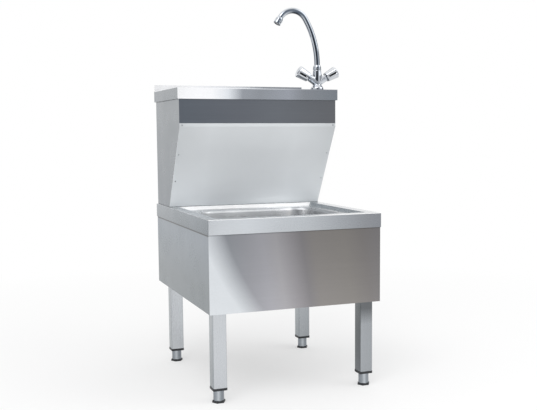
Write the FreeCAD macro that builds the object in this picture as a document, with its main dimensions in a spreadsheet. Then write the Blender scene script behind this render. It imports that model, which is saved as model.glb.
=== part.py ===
import FreeCAD, Part
import math
import os
import re
import Sketcher

# A floor-standing hand wash and utility sink in folded stainless sheet, in millimetres.
# X runs to the right, Y to the wall behind, Z up. The origin is on the floor, at the
# centre of the box that holds the whole unit, tap handle included.
V = FreeCAD.Vector
doc = FreeCAD.newDocument("HandWashSink")

# ---------------------------------------------------------------- driving dimensions
DIMENSIONS = {
    # folded sheet and overall size
    "width": 500,
    "depth": 600,
    "top_height": 850,
    "sink_height": 496,
    "sheet": 1.2,
    "fold_radius": 1.5,
    # lower top: lip, rim, sunken deck and the shelf that carries the upper cabinet
    "sink_lip": 40,
    "rim_width": 33,
    "deck_drop": 10,
    "deck_slope": 8,
    "shelf_depth": 164,
    "service_width": 380,
    "service_depth": 100,
    "service_setback": 25,
    # pressed bowls; the sink is set back from the front edge, the basin and the tap from the wall
    "bowl_sheet": 1.0,
    "bowl_land": 3,
    "sink_bowl_width": 370,
    "sink_bowl_length": 320,
    "sink_bowl_depth": 200,
    "sink_bowl_corner": 60,
    "sink_bowl_edge": 8,
    "sink_bowl_floor": 25,
    "sink_bowl_setback": 220,
    "hand_bowl_width": 320,
    "hand_bowl_length": 240,
    "hand_bowl_depth": 140,
    "hand_bowl_corner": 50,
    "hand_bowl_edge": 8,
    "hand_bowl_floor": 25,
    "hand_bowl_x": -45,
    "hand_bowl_setback": 152,
    # lower cabinet
    "apron_bottom": 246,
    "apron_inset": 2,
    "apron_flange": 12,
    "rail_height": 40,
    "rail_bottom": 400,
    "rail_wall": 1.5,
    # legs and adjustable feet
    "leg_size": 38,
    "leg_wall": 1.5,
    "leg_corner": 3,
    "leg_side_inset": 15,
    "leg_front_inset": 22,
    "leg_rear_inset": 72,
    "leg_over": 30,
    "bolt_radius": 4,
    "bolt_head": 13,
    "bolt_head_height": 5,
    "bolt_play": 0.2,
    "foot_height": 35,
    "collar_height": 6.5,
    "collar_lip": 0.75,
    "plug_depth": 45,
    "sleeve_radius": 14.7,
    "sleeve_wall": 1.5,
    "sleeve_length": 56,
    "sleeve_play": 0.3,
    "rod_radius": 6,
    "rod_play": 0.06,
    "rod_length": 100,
    "nut_depth": 12,
    "hex_size": 32,
    "hex_height": 6,
    # upper cabinet
    "upper_depth": 305,
    "upper_lip": 32,
    "upper_inset": 5,
    "upstand_height": 22,
    "upstand_depth": 12,
    "band_drop": 102,
    "strip_height": 11,
    "foot_setback": 158,
    "tray_flange": 15,
    "panel_return": 12,
    "cutout_width": 200,
    "cutout_height": 90,
    "cutout_lift": 24,
    "cutout_corner": 10,
    # screws
    "screw_radius": 1.9,
    "screw_play": 0.2,
    "screw_head": 3.6,
    "screw_head_height": 1.6,
    "screw_edge": 8,
    "lip_screw_front": 40,
    "lip_screw_rear": 13,
    "lip_screw_drop": 25,
    # wastes and pipe
    "sink_drain": 26,
    "sink_flange": 42,
    "sink_thread": 23.9,
    "hand_drain": 20,
    "hand_flange": 32,
    "flange_height": 2,
    "drain_play": 0.5,
    "drain_wall": 2,
    "shank_length": 12,
    "strainer_hole": 3,
    "strainer_holes": 6,
    "gasket_height": 3,
    "tee_height": 46,
    "tee_sump": 3,
    "tee_wall": 4,
    "outlet_length": 30,
    "pipe_radius": 16,
    "pipe_wall": 1.8,
    "pipe_bend": 40,
    "pipe_back": 70,
    "pipe_drop": 60,
    "pipe_run": 34,
    "socket_length": 26,
    "socket_wall": 3,
    "nut_wall": 5,
    "nut_length": 16,
    # tap
    "tap_x": 206,
    "tap_setback": 250,
    "tap_hole": 17.5,
    "tap_base": 22,
    "tap_spigot": 16.5,
    "tap_gasket_height": 1.5,
    "tap_waist": 15,
    "tap_waist_height": 16,
    "tap_neck": 11.5,
    "tap_neck_height": 66,
    "arm_height": 24,
    "arm_tilt": 28,
    "arm_radius": 11,
    "arm_length": 31,
    "inlet_radius": 4.5,
    "inlet_depth": 14,
    "inlet_x": 6,
    "inlet_y": -5,
    "stud_y": 11.5,
    "stud_radius": 4,
    "stud_length": 70,
    "washer_radius": 24,
    "washer_height": 3,
    "washer_slot": 12,
    "stud_nut": 13,
    "stud_nut_height": 8,
    "collar_radius": 13.7,
    "collar_drop": 4,
    "collar_top": 77,
    "spout_radius": 8,
    "spout_wall": 1.2,
    "spout_play": 0.06,
    "spout_spigot": 18,
    "spout_ring": 10.8,
    "spout_ring_height": 3,
    "spout_gap": 0.3,
    "spout_straight": 13,
    "rise_radius": 262,
    "rise_angle": 32,
    "bend_radius": 47,
    "bend_angle": 116,
    "spout_tail": 4,
    "aerator_radius": 11.5,
    "aerator_length": 20,
    "aerator_wall": 1.5,
    "aerator_recess": 2,
    "headwork_radius": 9,
    "headwork_seat": 12,
    "headwork_flange": 10,
    "headwork_flange_height": 2.5,
    "headwork_neck": 6.5,
    "headwork_neck_height": 5,
    "spindle_radius": 4,
    "spindle_play": 0.06,
    "spindle_length": 30,
    "handle_start": 34.5,
    "handle_length": 37,
    "handle_inner": 16,
    "handle_outer": 19,
    "handle_dome": 3,
    "handle_hollow": 12,
    "handle_hollow_depth": 9,
    "lobe_groove": 6,
    "lobe_count": 4,
    "cap_radius": 8,
    "cap_height": 1.5,
}

sheet = doc.addObject("Spreadsheet::Sheet", "Dims")
for row, (word, size) in enumerate(DIMENSIONS.items(), start=1):
    sheet.set(f"A{row}", word)
    sheet.set(f"B{row}", str(size))
    sheet.setAlias(f"B{row}", word)
doc.recompute()

# Sizes that follow from the driving ones, each with its formula.
derived = doc.addObject("App::VarSet", "Derived")


def formula(text):
    """The text with each size's name turned into a reference to its cell or property."""
    def reference(match):
        word = match.group(0)
        if word in DIMENSIONS:
            return "Dims." + word
        if word in derived.PropertiesList:
            return "Derived." + word
        return word
    return re.sub(r"[a-z][a-z_]+", reference, text)


def derive(word, text):
    derived.addProperty("App::PropertyFloat", word)
    derived.setExpression(word, formula(text))
    doc.recompute()


def number(word):
    if word in DIMENSIONS:
        return float(sheet.get(word))
    return float(getattr(derived, word))


# the handle's reach past the side moves the cabinet's centre plane off the origin
derive("handle_end", "handle_start + handle_length")
derive("handle_reach", "handle_end * cos(arm_tilt * 1deg) + (handle_outer - handle_dome) * sin(arm_tilt * 1deg)")
derive("cabinet_x", "-max(0; tap_x + handle_reach - width / 2) / 2")
derive("half_width", "width / 2")
derive("half_depth", "depth / 2")
derive("sink_bowl_y", "sink_bowl_setback - half_depth")
derive("hand_bowl_y", "half_depth - hand_bowl_setback")
derive("tap_y", "half_depth - tap_setback")
# lower cabinet and top
derive("apron_x", "half_width - apron_inset")
derive("apron_y", "half_depth - apron_inset")
derive("sink_under", "sink_height - sheet")
derive("slope_skin", "sheet * sqrt(1 + (deck_slope / deck_drop)^2)")
derive("recess_x", "half_width - rim_width")
derive("recess_front", "-half_depth + rim_width")
derive("recess_rear", "half_depth - shelf_depth")
derive("deck_height", "sink_height - deck_drop")
derive("leg_x", "half_width - leg_side_inset - leg_size / 2")
derive("leg_front_y", "-half_depth + leg_front_inset + leg_size / 2")
derive("leg_rear_y", "half_depth - leg_rear_inset - leg_size / 2")
derive("leg_top", "rail_bottom + rail_height + leg_over")
# upper cabinet
derive("upper_under", "top_height - sheet")
derive("cutout_bottom", "sink_height + cutout_lift")
derive("upper_front", "half_depth - upper_depth")
derive("upper_x", "half_width - upper_inset")
derive("band_face", "upper_front + upper_inset")
derive("band_bottom", "top_height - band_drop")
derive("bend_height", "band_bottom - strip_height")
derive("fore_screw_y", "upper_front + lip_screw_front")
derive("back_screw_y", "half_depth - lip_screw_rear")
derive("foot_face", "half_depth - foot_setback")
derive("lean", "(foot_face - band_face) / (bend_height - sink_height)")
derive("lean_skin", "sheet * sqrt(1 + lean^2)")
derive("bend_lift", "(lean_skin - sheet) / lean")
# wastes
derive("sink_floor", "deck_height - sink_bowl_depth")
derive("hand_floor", "top_height - hand_bowl_depth")
derive("tee_top", "sink_floor - bowl_sheet - gasket_height")
derive("tee_inlet", "tee_top - tee_height + tee_sump + socket_wall + pipe_radius")
derive("tee_reach", "sink_drain - drain_play + tee_wall + socket_length")
derive("plan_run", "sqrt((hand_bowl_x)^2 + (hand_bowl_y - sink_bowl_y)^2)")
derive("plan_turn", "atan(-hand_bowl_x / (hand_bowl_y - sink_bowl_y)) / 1deg")
derive("hand_shank", "hand_drain - drain_play")
derive("hand_socket_end", "hand_floor - bowl_sheet - gasket_height - socket_length")
# tap
derive("spout_turn", "rise_angle + bend_angle")
derive("ring_base", "tap_neck_height + spout_gap")
derive("ring_top", "ring_base + spout_ring_height")
derive("spout_base", "tap_neck_height - spout_spigot")
derive("bend_start", "tap_neck_height + spout_straight")
derive(
    "spout_end_x",
    "-rise_radius * (1 - cos(rise_angle * 1deg)) - bend_radius * cos(rise_angle * 1deg)"
    " + bend_radius * cos(spout_turn * 1deg) - spout_tail * sin(spout_turn * 1deg)",
)
derive(
    "spout_end_z",
    "bend_start + rise_radius * sin(rise_angle * 1deg) - bend_radius * sin(rise_angle * 1deg)"
    " + bend_radius * sin(spout_turn * 1deg) + spout_tail * cos(spout_turn * 1deg)",
)
derive("spindle_start", "arm_length - 4")


# ---------------------------------------------------------------- drawing helpers
def new_body(label, x="0", y="0", z="0", axis=V(0, 0, 1), angle="0"):
    """A body in the cabinet's own frame, which is centred on the cabinet's middle plane."""
    body = doc.addObject("PartDesign::Body", label)
    body.Label = label
    body.Placement = FreeCAD.Placement(V(0, 0, 0), FreeCAD.Rotation(axis, 0))
    body.setExpression("Placement.Base.x", formula(f"cabinet_x + ({x})"))
    body.setExpression("Placement.Base.y", formula(y))
    body.setExpression("Placement.Base.z", formula(z))
    if angle != "0":
        body.setExpression("Placement.Rotation.Angle", formula(angle))
    return body


def new_sketch(body, plane, offset="0"):
    sketch = body.newObject("Sketcher::SketchObject", body.Name + "_sketch")
    base = [item for item in body.Origin.OriginFeatures if item.Role == plane][0]
    sketch.AttachmentSupport = [(base, "")]
    sketch.MapMode = "FlatFace"
    if offset != "0":
        sketch.setExpression("AttachmentOffset.Base.z", formula(offset))
    return sketch


def bind(sketch, constraint, text):
    index = sketch.addConstraint(constraint)
    sketch.setExpression(f"Constraints[{index}]", formula(text))


def pin_point(sketch, shape, point, x, y):
    """Holds one point of a shape at a distance from the sketch's own origin."""
    bind(sketch, Sketcher.Constraint("DistanceX", -1, 1, shape, point, 1.0), x)
    bind(sketch, Sketcher.Constraint("DistanceY", -1, 1, shape, point, 1.0), y)


def polygon(sketch, corners):
    """A closed outline through corners given as pairs of formulas."""
    count = len(corners)
    ring = [V(math.cos(math.tau * i / count), math.sin(math.tau * i / count), 0) for i in range(count)]
    first = sketch.GeometryCount
    for i in range(count):
        sketch.addGeometry(Part.LineSegment(ring[i], ring[(i + 1) % count]), False)
    for i in range(count):
        sketch.addConstraint(Sketcher.Constraint("Coincident", first + i, 2, first + (i + 1) % count, 1))
    for i, (x, y) in enumerate(corners):
        pin_point(sketch, first + i, 1, x, y)


def rectangle(sketch, left, bottom, right, top):
    polygon(sketch, [(left, bottom), (right, bottom), (right, top), (left, top)])


def rounded(sketch, left, bottom, right, top, radius):
    """A rectangle with round corners: four sides and four arcs, each tangent to the next."""
    first = sketch.GeometryCount
    for i in range(4):
        out = V(math.cos(i * math.pi / 2), math.sin(i * math.pi / 2), 0)
        side = V(-out.y, out.x, 0)
        sketch.addGeometry(Part.LineSegment(out * 2 - side, out * 2 + side), False)
        corner = Part.Circle(out + side, V(0, 0, 1), 1)
        sketch.addGeometry(Part.ArcOfCircle(corner, i * math.pi / 2, (i + 1) * math.pi / 2), False)
    for i in range(8):
        join = Sketcher.Constraint("Tangent", first + i, 2, first + (i + 1) % 8, 1)
        sketch.addConstraint(join)
    for i, direction in enumerate(("Vertical", "Horizontal", "Vertical", "Horizontal")):
        sketch.addConstraint(Sketcher.Constraint(direction, first + 2 * i))
    for i in (1, 2, 3):
        sketch.addConstraint(Sketcher.Constraint("Equal", first + 1, first + 1 + 2 * i))
    bind(sketch, Sketcher.Constraint("DistanceX", -1, 1, first, 1, 2.0), right)
    bind(sketch, Sketcher.Constraint("DistanceY", -1, 1, first + 2, 1, 2.0), top)
    bind(sketch, Sketcher.Constraint("DistanceX", -1, 1, first + 4, 1, -2.0), left)
    bind(sketch, Sketcher.Constraint("DistanceY", -1, 1, first + 6, 1, -2.0), bottom)
    bind(sketch, Sketcher.Constraint("Radius", first + 1, 1.0), radius)


def circle(sketch, x, y, radius):
    index = sketch.addGeometry(Part.Circle(V(0, 0, 0), V(0, 0, 1), 1), False)
    pin_point(sketch, index, 3, x, y)
    bind(sketch, Sketcher.Constraint("Radius", index, 1.0), radius)


def hexagon(sketch, x, y, across_flats):
    """A regular hexagon with two flats parallel to the sketch's X axis."""
    corners = []
    for i in range(6):
        turn = f"{60 * i}deg"
        reach = f"({across_flats}) / sqrt(3)"
        corners.append((f"({x}) + {reach} * cos({turn})", f"({y}) + {reach} * sin({turn})"))
    polygon(sketch, corners)


def pad(body, sketch, length, reverse=False):
    feature = body.newObject("PartDesign::Pad", body.Name + "_pad")
    feature.Profile = sketch
    feature.Reversed = reverse
    feature.setExpression("Length", formula(length))
    doc.recompute()
    return feature


def pocket(body, sketch, length, reverse=False):
    """Cuts against the sketch's normal, or along it when reversed."""
    before = body.Shape.Volume
    feature = body.newObject("PartDesign::Pocket", body.Name + "_pocket")
    feature.Profile = sketch
    feature.Reversed = reverse
    feature.setExpression("Length", formula(length))
    doc.recompute()
    if body.Shape.Volume >= before - 1e-6:
        raise RuntimeError(f"a pocket in {body.Label} cuts nothing")
    return feature


def revolution(body, sketch, axis="V_Axis"):
    feature = body.newObject("PartDesign::Revolution", body.Name + "_revolution")
    feature.Profile = sketch
    feature.ReferenceAxis = (sketch, [axis])
    feature.Angle = 360
    doc.recompute()
    return feature


def dress(body, kind, edges, size, sizes="Radius"):
    """A Fillet or Chamfer on the named edges of the body's tip."""
    base = body.Tip
    feature = body.newObject("PartDesign::" + kind, body.Name + "_" + kind.lower())
    feature.Base = (base, edges)
    feature.setExpression(sizes, formula(size))
    doc.recompute()
    return feature


def repeat(body, features, count, axis="Z_Axis"):
    """The features repeated evenly round one of the body's own axes."""
    feature = body.newObject("PartDesign::PolarPattern", body.Name + "_pattern")
    feature.Originals = features
    line = [item for item in body.Origin.OriginFeatures if item.Role == axis][0]
    feature.Axis = (line, [""])
    feature.Angle = 360
    feature.setExpression("Occurrences", formula(count))
    body.Tip = feature
    doc.recompute()
    return feature


def edge_names(shape, wanted):
    return [f"Edge{i}" for i, edge in enumerate(shape.Edges, start=1) if wanted(edge)]


def same_edge(edge, others):
    middle = edge.CenterOfMass
    return any((middle - other.CenterOfMass).Length < 1e-4 for other in others)


def upright(edge):
    if not isinstance(edge.Curve, Part.Line):
        return False
    direction = edge.Curve.Direction
    return abs(abs(direction.z) - 1) < 1e-6


def flat_faces(shape, up):
    """Horizontal faces that look up (or down), lowest first."""
    faces = []
    for face in shape.Faces:
        if isinstance(face.Surface, Part.Plane) and abs(face.normalAt(0, 0).z - up) < 1e-6:
            faces.append(face)
    return sorted(faces, key=lambda face: face.CenterOfMass.z)


def edges_of(shape, wire):
    return edge_names(shape, lambda edge: same_edge(edge, wire.Edges))


def inner_wires(face):
    return [wire for wire in face.Wires if not wire.isSame(face.OuterWire)]


# ---------------------------------------------------------------- folded sheet parts
def block_with_lip(body, left, front, right, back, lip):
    """A flat sheet with a lip folded down all round. Its top lies on the body's own plane."""
    outline = new_sketch(body, "XY_Plane", f"-({lip})")
    rectangle(outline, left, front, right, back)
    pad(body, outline, lip)
    hollow = new_sketch(body, "XY_Plane", f"-({lip})")
    rectangle(hollow, f"({left}) + sheet", f"({front}) + sheet", f"({right}) - sheet", f"({back}) - sheet")
    pocket(body, hollow, f"({lip}) - sheet", reverse=True)


def round_outer_folds(body):
    """Rounds the upper outer fold and the four corners of a lipped sheet."""
    box = body.Tip.Shape.BoundBox

    def outer(edge):
        centre = edge.CenterOfMass
        at_side = abs(centre.x - box.XMin) < 1e-4 or abs(centre.x - box.XMax) < 1e-4
        at_end = abs(centre.y - box.YMin) < 1e-4 or abs(centre.y - box.YMax) < 1e-4
        at_top = abs(centre.z - box.ZMax) < 1e-4
        if upright(edge):
            return at_side and at_end
        return at_top and (at_side or at_end)

    dress(body, "Fillet", edge_names(body.Tip.Shape, outer), "fold_radius")


def make_sink_top():
    body = new_body("sink_top", z="sink_height")
    block_with_lip(body, "-half_width", "-half_depth", "half_width", "half_depth", "sink_lip")

    def deck_outline(depth, skin):
        inset = f"deck_slope * ({depth}) / deck_drop - ({skin})"
        sketch = new_sketch(body, "XY_Plane", f"-({depth})")
        rectangle(
            sketch,
            f"-recess_x + {inset}",
            f"recess_front + {inset}",
            f"recess_x - ({inset})",
            f"recess_rear - ({inset})",
        )
        return sketch

    # the sunken deck: a shallow tray with sloping walls all round
    tray = body.newObject("PartDesign::AdditiveLoft", "sink_top_tray")
    tray.Profile = deck_outline("sheet", "slope_skin")
    tray.Sections = [deck_outline("deck_drop + sheet", "slope_skin")]
    doc.recompute()
    void = body.newObject("PartDesign::SubtractiveLoft", "sink_top_void")
    void.Profile = deck_outline("0", "0")
    void.Sections = [deck_outline("deck_drop", "0")]
    doc.recompute()

    opening = new_sketch(body, "XY_Plane")
    reach = "sink_bowl_edge + bowl_sheet + bowl_land"
    rounded(
        opening,
        f"-sink_bowl_width / 2 - ({reach})",
        f"sink_bowl_y - sink_bowl_length / 2 - ({reach})",
        f"sink_bowl_width / 2 + {reach}",
        f"sink_bowl_y + sink_bowl_length / 2 + {reach}",
        f"sink_bowl_corner + {reach}",
    )
    pocket(body, opening, "deck_drop + 2 * sheet")

    # pipes pass through the shelf behind the bowl, inside the upper cabinet
    service = new_sketch(body, "XY_Plane")
    rectangle(
        service,
        "-service_width / 2",
        "half_depth - service_setback - service_depth",
        "service_width / 2",
        "half_depth - service_setback",
    )
    pocket(body, service, "2 * sheet")
    round_outer_folds(body)
    return body


def make_upper_top():
    body = new_body("upper_top", z="top_height")
    block_with_lip(body, "-half_width", "upper_front", "half_width", "half_depth", "upper_lip")
    # the rear upstand is a box fold, open to the inside
    upstand = new_sketch(body, "XY_Plane", "-sheet")
    rectangle(upstand, "-half_width", "half_depth - upstand_depth", "half_width", "half_depth")
    pad(body, upstand, "upstand_height + sheet")
    fold = new_sketch(body, "XY_Plane", "-sheet")
    rectangle(
        fold,
        "-half_width + sheet",
        "half_depth - upstand_depth + sheet",
        "half_width - sheet",
        "half_depth - sheet",
    )
    pocket(body, fold, "upstand_height", reverse=True)

    opening = new_sketch(body, "XY_Plane")
    reach = "hand_bowl_edge + bowl_sheet + bowl_land"
    rounded(
        opening,
        f"hand_bowl_x - hand_bowl_width / 2 - ({reach})",
        f"hand_bowl_y - hand_bowl_length / 2 - ({reach})",
        f"hand_bowl_x + hand_bowl_width / 2 + {reach}",
        f"hand_bowl_y + hand_bowl_length / 2 + {reach}",
        f"hand_bowl_corner + {reach}",
    )
    pocket(body, opening, "2 * sheet")

    tap_hole = new_sketch(body, "XY_Plane")
    circle(tap_hole, "tap_x", "tap_y", "tap_hole")
    pocket(body, tap_hole, "2 * sheet")

    # screw holes through both side lips
    holes = new_sketch(body, "YZ_Plane", "-half_width")
    for place in ("fore_screw_y", "back_screw_y"):
        circle(holes, place, "-lip_screw_drop", "screw_radius + screw_play")
    pocket(body, holes, "width", reverse=True)
    return body


def make_bowl(label, prefix, x, y, z, drain):
    """A pressed bowl whose wall rolls over into a narrow flat land at the deck."""
    body = new_body(label, x=x, y=y, z=z)
    width, length = f"{prefix}_width", f"{prefix}_length"
    depth, corner = f"{prefix}_depth", f"{prefix}_corner"
    edge, floor = f"{prefix}_edge", f"{prefix}_floor"

    def centred(offset, grow):
        sketch = new_sketch(body, "XY_Plane", offset)
        rounded(
            sketch,
            f"-{width} / 2 - ({grow})",
            f"-{length} / 2 - ({grow})",
            f"{width} / 2 + {grow}",
            f"{length} / 2 + {grow}",
            f"{corner} + {grow}",
        )
        return sketch

    pad(body, centred(f"-{depth} - bowl_sheet", "bowl_sheet"), f"{depth} + bowl_sheet")
    pad(body, centred("-bowl_sheet", f"{edge} + bowl_sheet + bowl_land"), "bowl_sheet")
    pocket(body, centred("0", "0"), depth)
    # the floor's radii inside and outside, then the two that roll the wall into the land
    inside = flat_faces(body.Tip.Shape, 1)[0]
    dress(body, "Fillet", edges_of(body.Tip.Shape, inside.OuterWire), floor)
    lowest = flat_faces(body.Tip.Shape, -1)[0]
    dress(body, "Fillet", edges_of(body.Tip.Shape, lowest.OuterWire), f"{floor} + bowl_sheet")
    under = flat_faces(body.Tip.Shape, -1)[-1]
    dress(body, "Fillet", edges_of(body.Tip.Shape, inner_wires(under)[0]), edge)
    land = flat_faces(body.Tip.Shape, 1)[-1]
    dress(body, "Fillet", edges_of(body.Tip.Shape, inner_wires(land)[0]), f"{edge} + bowl_sheet")
    hole = new_sketch(body, "XY_Plane", f"-{depth}")
    circle(hole, "0", "0", drain)
    pocket(body, hole, "2 * bowl_sheet")
    return body


def make_apron_end(label, face, direction):
    """Front or rear panel of the lower cabinet: a flat sheet with a return along its lower edge."""
    body = new_body(label)
    outline = new_sketch(body, "XZ_Plane", face)
    rectangle(outline, "-apron_x", "apron_bottom", "apron_x", "sink_under")
    pad(body, outline, "sheet", reverse=direction < 0)
    inner = f"({face}) - sheet" if direction < 0 else f"({face}) + sheet"
    flange = new_sketch(body, "XZ_Plane", inner)
    rectangle(flange, "-apron_x + apron_flange", "apron_bottom", "apron_x - apron_flange", "apron_bottom + sheet")
    pad(body, flange, "apron_flange - sheet", reverse=direction < 0)
    return body


def make_apron_side(label, side):
    """Side panel of the lower cabinet: a shallow tray with its flanges turned inwards."""
    body = new_body(label)
    outer = "-apron_x" if side < 0 else "apron_x"
    mouth = "-apron_x + apron_flange" if side < 0 else "apron_x - apron_flange"
    outline = new_sketch(body, "YZ_Plane", outer)
    rectangle(outline, "-apron_y + sheet", "apron_bottom", "apron_y - sheet", "sink_under")
    pad(body, outline, "apron_flange", reverse=side > 0)
    hollow = new_sketch(body, "YZ_Plane", mouth)
    rectangle(
        hollow,
        "-apron_y + 2 * sheet",
        "apron_bottom + sheet",
        "apron_y - 2 * sheet",
        "sink_under - sheet",
    )
    pocket(body, hollow, "apron_flange - sheet", reverse=side > 0)
    return body


def make_rail(label, side):
    """Channel along the inside of a side panel. The two legs of that side are bolted to it."""
    body = new_body(label)
    web = "half_width - leg_side_inset"
    reach = "leg_side_inset - apron_inset - sheet"
    start = f"-({web}) - ({reach})" if side < 0 else web
    outline = new_sketch(body, "YZ_Plane", start)
    rectangle(outline, "-apron_y + 2 * sheet", "rail_bottom", "apron_y - 2 * sheet", "rail_bottom + rail_height")
    pad(body, outline, reach)
    mouth = new_sketch(body, "YZ_Plane", f"-({web}) - ({reach})" if side < 0 else f"{web} + {reach}")
    rectangle(
        mouth,
        "-apron_y + 2 * sheet - 1",
        "rail_bottom + rail_wall",
        "apron_y - 2 * sheet + 1",
        "rail_bottom + rail_height - rail_wall",
    )
    pocket(body, mouth, f"{reach} - rail_wall", reverse=side < 0)
    holes = new_sketch(body, "YZ_Plane")
    for y in ("leg_front_y", "leg_rear_y"):
        circle(holes, y, "rail_bottom + rail_height / 2", "bolt_radius + bolt_play")
    pocket(body, holes, "half_width", reverse=side > 0)
    return body


def make_upper_side(label, side):
    """Side panel of the upper cabinet: a tray whose front edge leans back to the sink."""
    body = new_body(label)
    outer = "-upper_x" if side < 0 else "upper_x"
    mouth = "-upper_x + tray_flange" if side < 0 else "upper_x - tray_flange"
    outline = new_sketch(body, "YZ_Plane", outer)
    polygon(outline, [
        ("apron_y - sheet", "sink_height"),
        ("apron_y - sheet", "upper_under"),
        ("band_face + sheet", "upper_under"),
        ("band_face + sheet", "bend_height + bend_lift"),
        ("foot_face + lean_skin", "sink_height"),
    ])
    pad(body, outline, "tray_flange", reverse=side > 0)
    hollow = new_sketch(body, "YZ_Plane", mouth)
    polygon(hollow, [
        ("apron_y - 2 * sheet", "sink_height + sheet"),
        ("apron_y - 2 * sheet", "upper_under - sheet"),
        ("band_face + 2 * sheet", "upper_under - sheet"),
        ("band_face + 2 * sheet", "bend_height + 2 * bend_lift"),
        ("foot_face + 2 * lean_skin - lean * sheet", "sink_height + sheet"),
    ])
    pocket(body, hollow, "tray_flange - sheet", reverse=side > 0)
    holes = new_sketch(body, "YZ_Plane")
    for place in ("fore_screw_y", "back_screw_y"):
        circle(holes, place, "top_height - lip_screw_drop", "screw_radius + screw_play")
    pocket(body, holes, "half_width", reverse=side > 0)
    return body


def make_upper_back():
    body = new_body("upper_back")
    outline = new_sketch(body, "XZ_Plane", "-apron_y")
    rectangle(outline, "-upper_x", "sink_height", "upper_x", "upper_under")
    pad(body, outline, "sheet")
    cutout = new_sketch(body, "XZ_Plane", "-apron_y + sheet")
    rounded(
        cutout,
        "-cutout_width / 2",
        "cutout_bottom",
        "cutout_width / 2",
        "cutout_bottom + cutout_height",
        "cutout_corner",
    )
    pocket(body, cutout, "2 * sheet")
    return body


def make_front_band():
    """Upright front strip of the upper cabinet, with its lower edge turned in behind the cover."""
    body = new_body("front_band")
    outline = new_sketch(body, "YZ_Plane", "-upper_x")
    polygon(outline, [
        ("band_face", "band_bottom"),
        ("band_face + sheet", "band_bottom"),
        ("band_face + sheet", "upper_under"),
        ("band_face", "upper_under"),
    ])
    pad(body, outline, "2 * upper_x")
    flange = new_sketch(body, "YZ_Plane", "-upper_x + tray_flange")
    rectangle(flange, "band_face + sheet", "band_bottom", "band_face + panel_return", "band_bottom + sheet")
    pad(body, flange, "2 * (upper_x - tray_flange)")
    return body


def make_access_panel():
    """Screwed cover below the band: a short upright strip, a long lean and a return at the foot."""
    body = new_body("access_panel")
    outline = new_sketch(body, "YZ_Plane", "-upper_x")
    polygon(outline, [
        ("band_face", "band_bottom"),
        ("band_face", "bend_height"),
        ("foot_face", "sink_height"),
        ("foot_face + lean_skin", "sink_height"),
        ("band_face + sheet", "bend_height + bend_lift"),
        ("band_face + sheet", "band_bottom"),
    ])
    pad(body, outline, "2 * upper_x")
    flange = new_sketch(body, "YZ_Plane", "-upper_x + tray_flange")
    polygon(flange, [
        ("foot_face + lean_skin", "sink_height"),
        ("foot_face + lean_skin + panel_return", "sink_height"),
        ("foot_face + lean_skin + panel_return", "sink_height + sheet"),
        ("foot_face + lean_skin - lean * sheet", "sink_height + sheet"),
    ])
    pad(body, flange, "2 * (upper_x - tray_flange)")
    return body


# ---------------------------------------------------------------- legs and feet
LEGS = {
    "front_left": ("-leg_x", "leg_front_y"),
    "front_right": ("leg_x", "leg_front_y"),
    "rear_left": ("-leg_x", "leg_rear_y"),
    "rear_right": ("leg_x", "leg_rear_y"),
}


def square(body, size, corner, offset="0"):
    sketch = new_sketch(body, "XY_Plane", offset)
    rounded(sketch, f"-({size}) / 2", f"-({size}) / 2", f"({size}) / 2", f"({size}) / 2", corner)
    return sketch


def make_leg(name, x, y):
    body = new_body("leg_" + name, x=x, y=y, z="foot_height + collar_height")
    length = "leg_top - foot_height - collar_height"
    pad(body, square(body, "leg_size", "leg_corner"), length)
    pocket(body, square(body, "leg_size - 2 * leg_wall", "leg_corner - leg_wall"), length, reverse=True)
    hole = new_sketch(body, "YZ_Plane", "-leg_size / 2")
    circle(
        hole, "0", "rail_bottom + rail_height / 2 - foot_height - collar_height", "bolt_radius + bolt_play"
    )
    pocket(body, hole, "leg_size", reverse=True)
    return body


def make_leg_insert(name, x, y):
    """Plastic plug in the leg's end. It has a collar below and a threaded roof for the foot's rod."""
    body = new_body("leg_insert_" + name, x=x, y=y, z="foot_height")
    collar = square(body, "leg_size + 2 * collar_lip", "leg_corner + collar_lip")
    pad(body, collar, "collar_height")
    plug = square(body, "leg_size - 2 * leg_wall", "leg_corner - leg_wall", "collar_height")
    pad(body, plug, "plug_depth")
    bore = new_sketch(body, "XY_Plane")
    circle(bore, "0", "0", "sleeve_radius + sleeve_play")
    pocket(body, bore, "collar_height + plug_depth - nut_depth", reverse=True)
    thread = new_sketch(body, "XY_Plane")
    circle(thread, "0", "0", "rod_radius + rod_play")
    pocket(body, thread, "collar_height + plug_depth", reverse=True)
    return body


def make_foot_stem(name, x, y):
    """Threaded rod with the smooth sleeve that shows below the leg."""
    body = new_body("foot_stem_" + name, x=x, y=y, z="hex_height")
    half = new_sketch(body, "XZ_Plane")
    polygon(half, [
        ("0", "0"),
        ("sleeve_radius", "0"),
        ("sleeve_radius", "sleeve_length"),
        ("sleeve_radius - sleeve_wall", "sleeve_length"),
        ("sleeve_radius - sleeve_wall", "2 * sleeve_wall"),
        ("rod_radius", "2 * sleeve_wall"),
        ("rod_radius", "rod_length"),
        ("0", "rod_length"),
    ])
    revolution(body, half)
    return body


def make_foot_base(name, x, y):
    body = new_body("foot_base_" + name, x=x, y=y)
    outline = new_sketch(body, "XY_Plane")
    hexagon(outline, "0", "0", "hex_size")
    pad(body, outline, "hex_height")
    top = flat_faces(body.Tip.Shape, 1)[-1]
    dress(body, "Chamfer", edges_of(body.Tip.Shape, top.OuterWire), "hex_height / 6", "Size")
    return body


# ---------------------------------------------------------------- fasteners
def joined(label, pieces):
    """Identical fasteners as one node of separate solids, in the cabinet's frame."""
    group = doc.addObject("Part::Feature", label)
    group.Label = label
    group.Shape = Part.makeCompound(pieces)
    group.Placement = FreeCAD.Placement(V(number("cabinet_x"), 0, 0), FreeCAD.Rotation())
    return group


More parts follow.
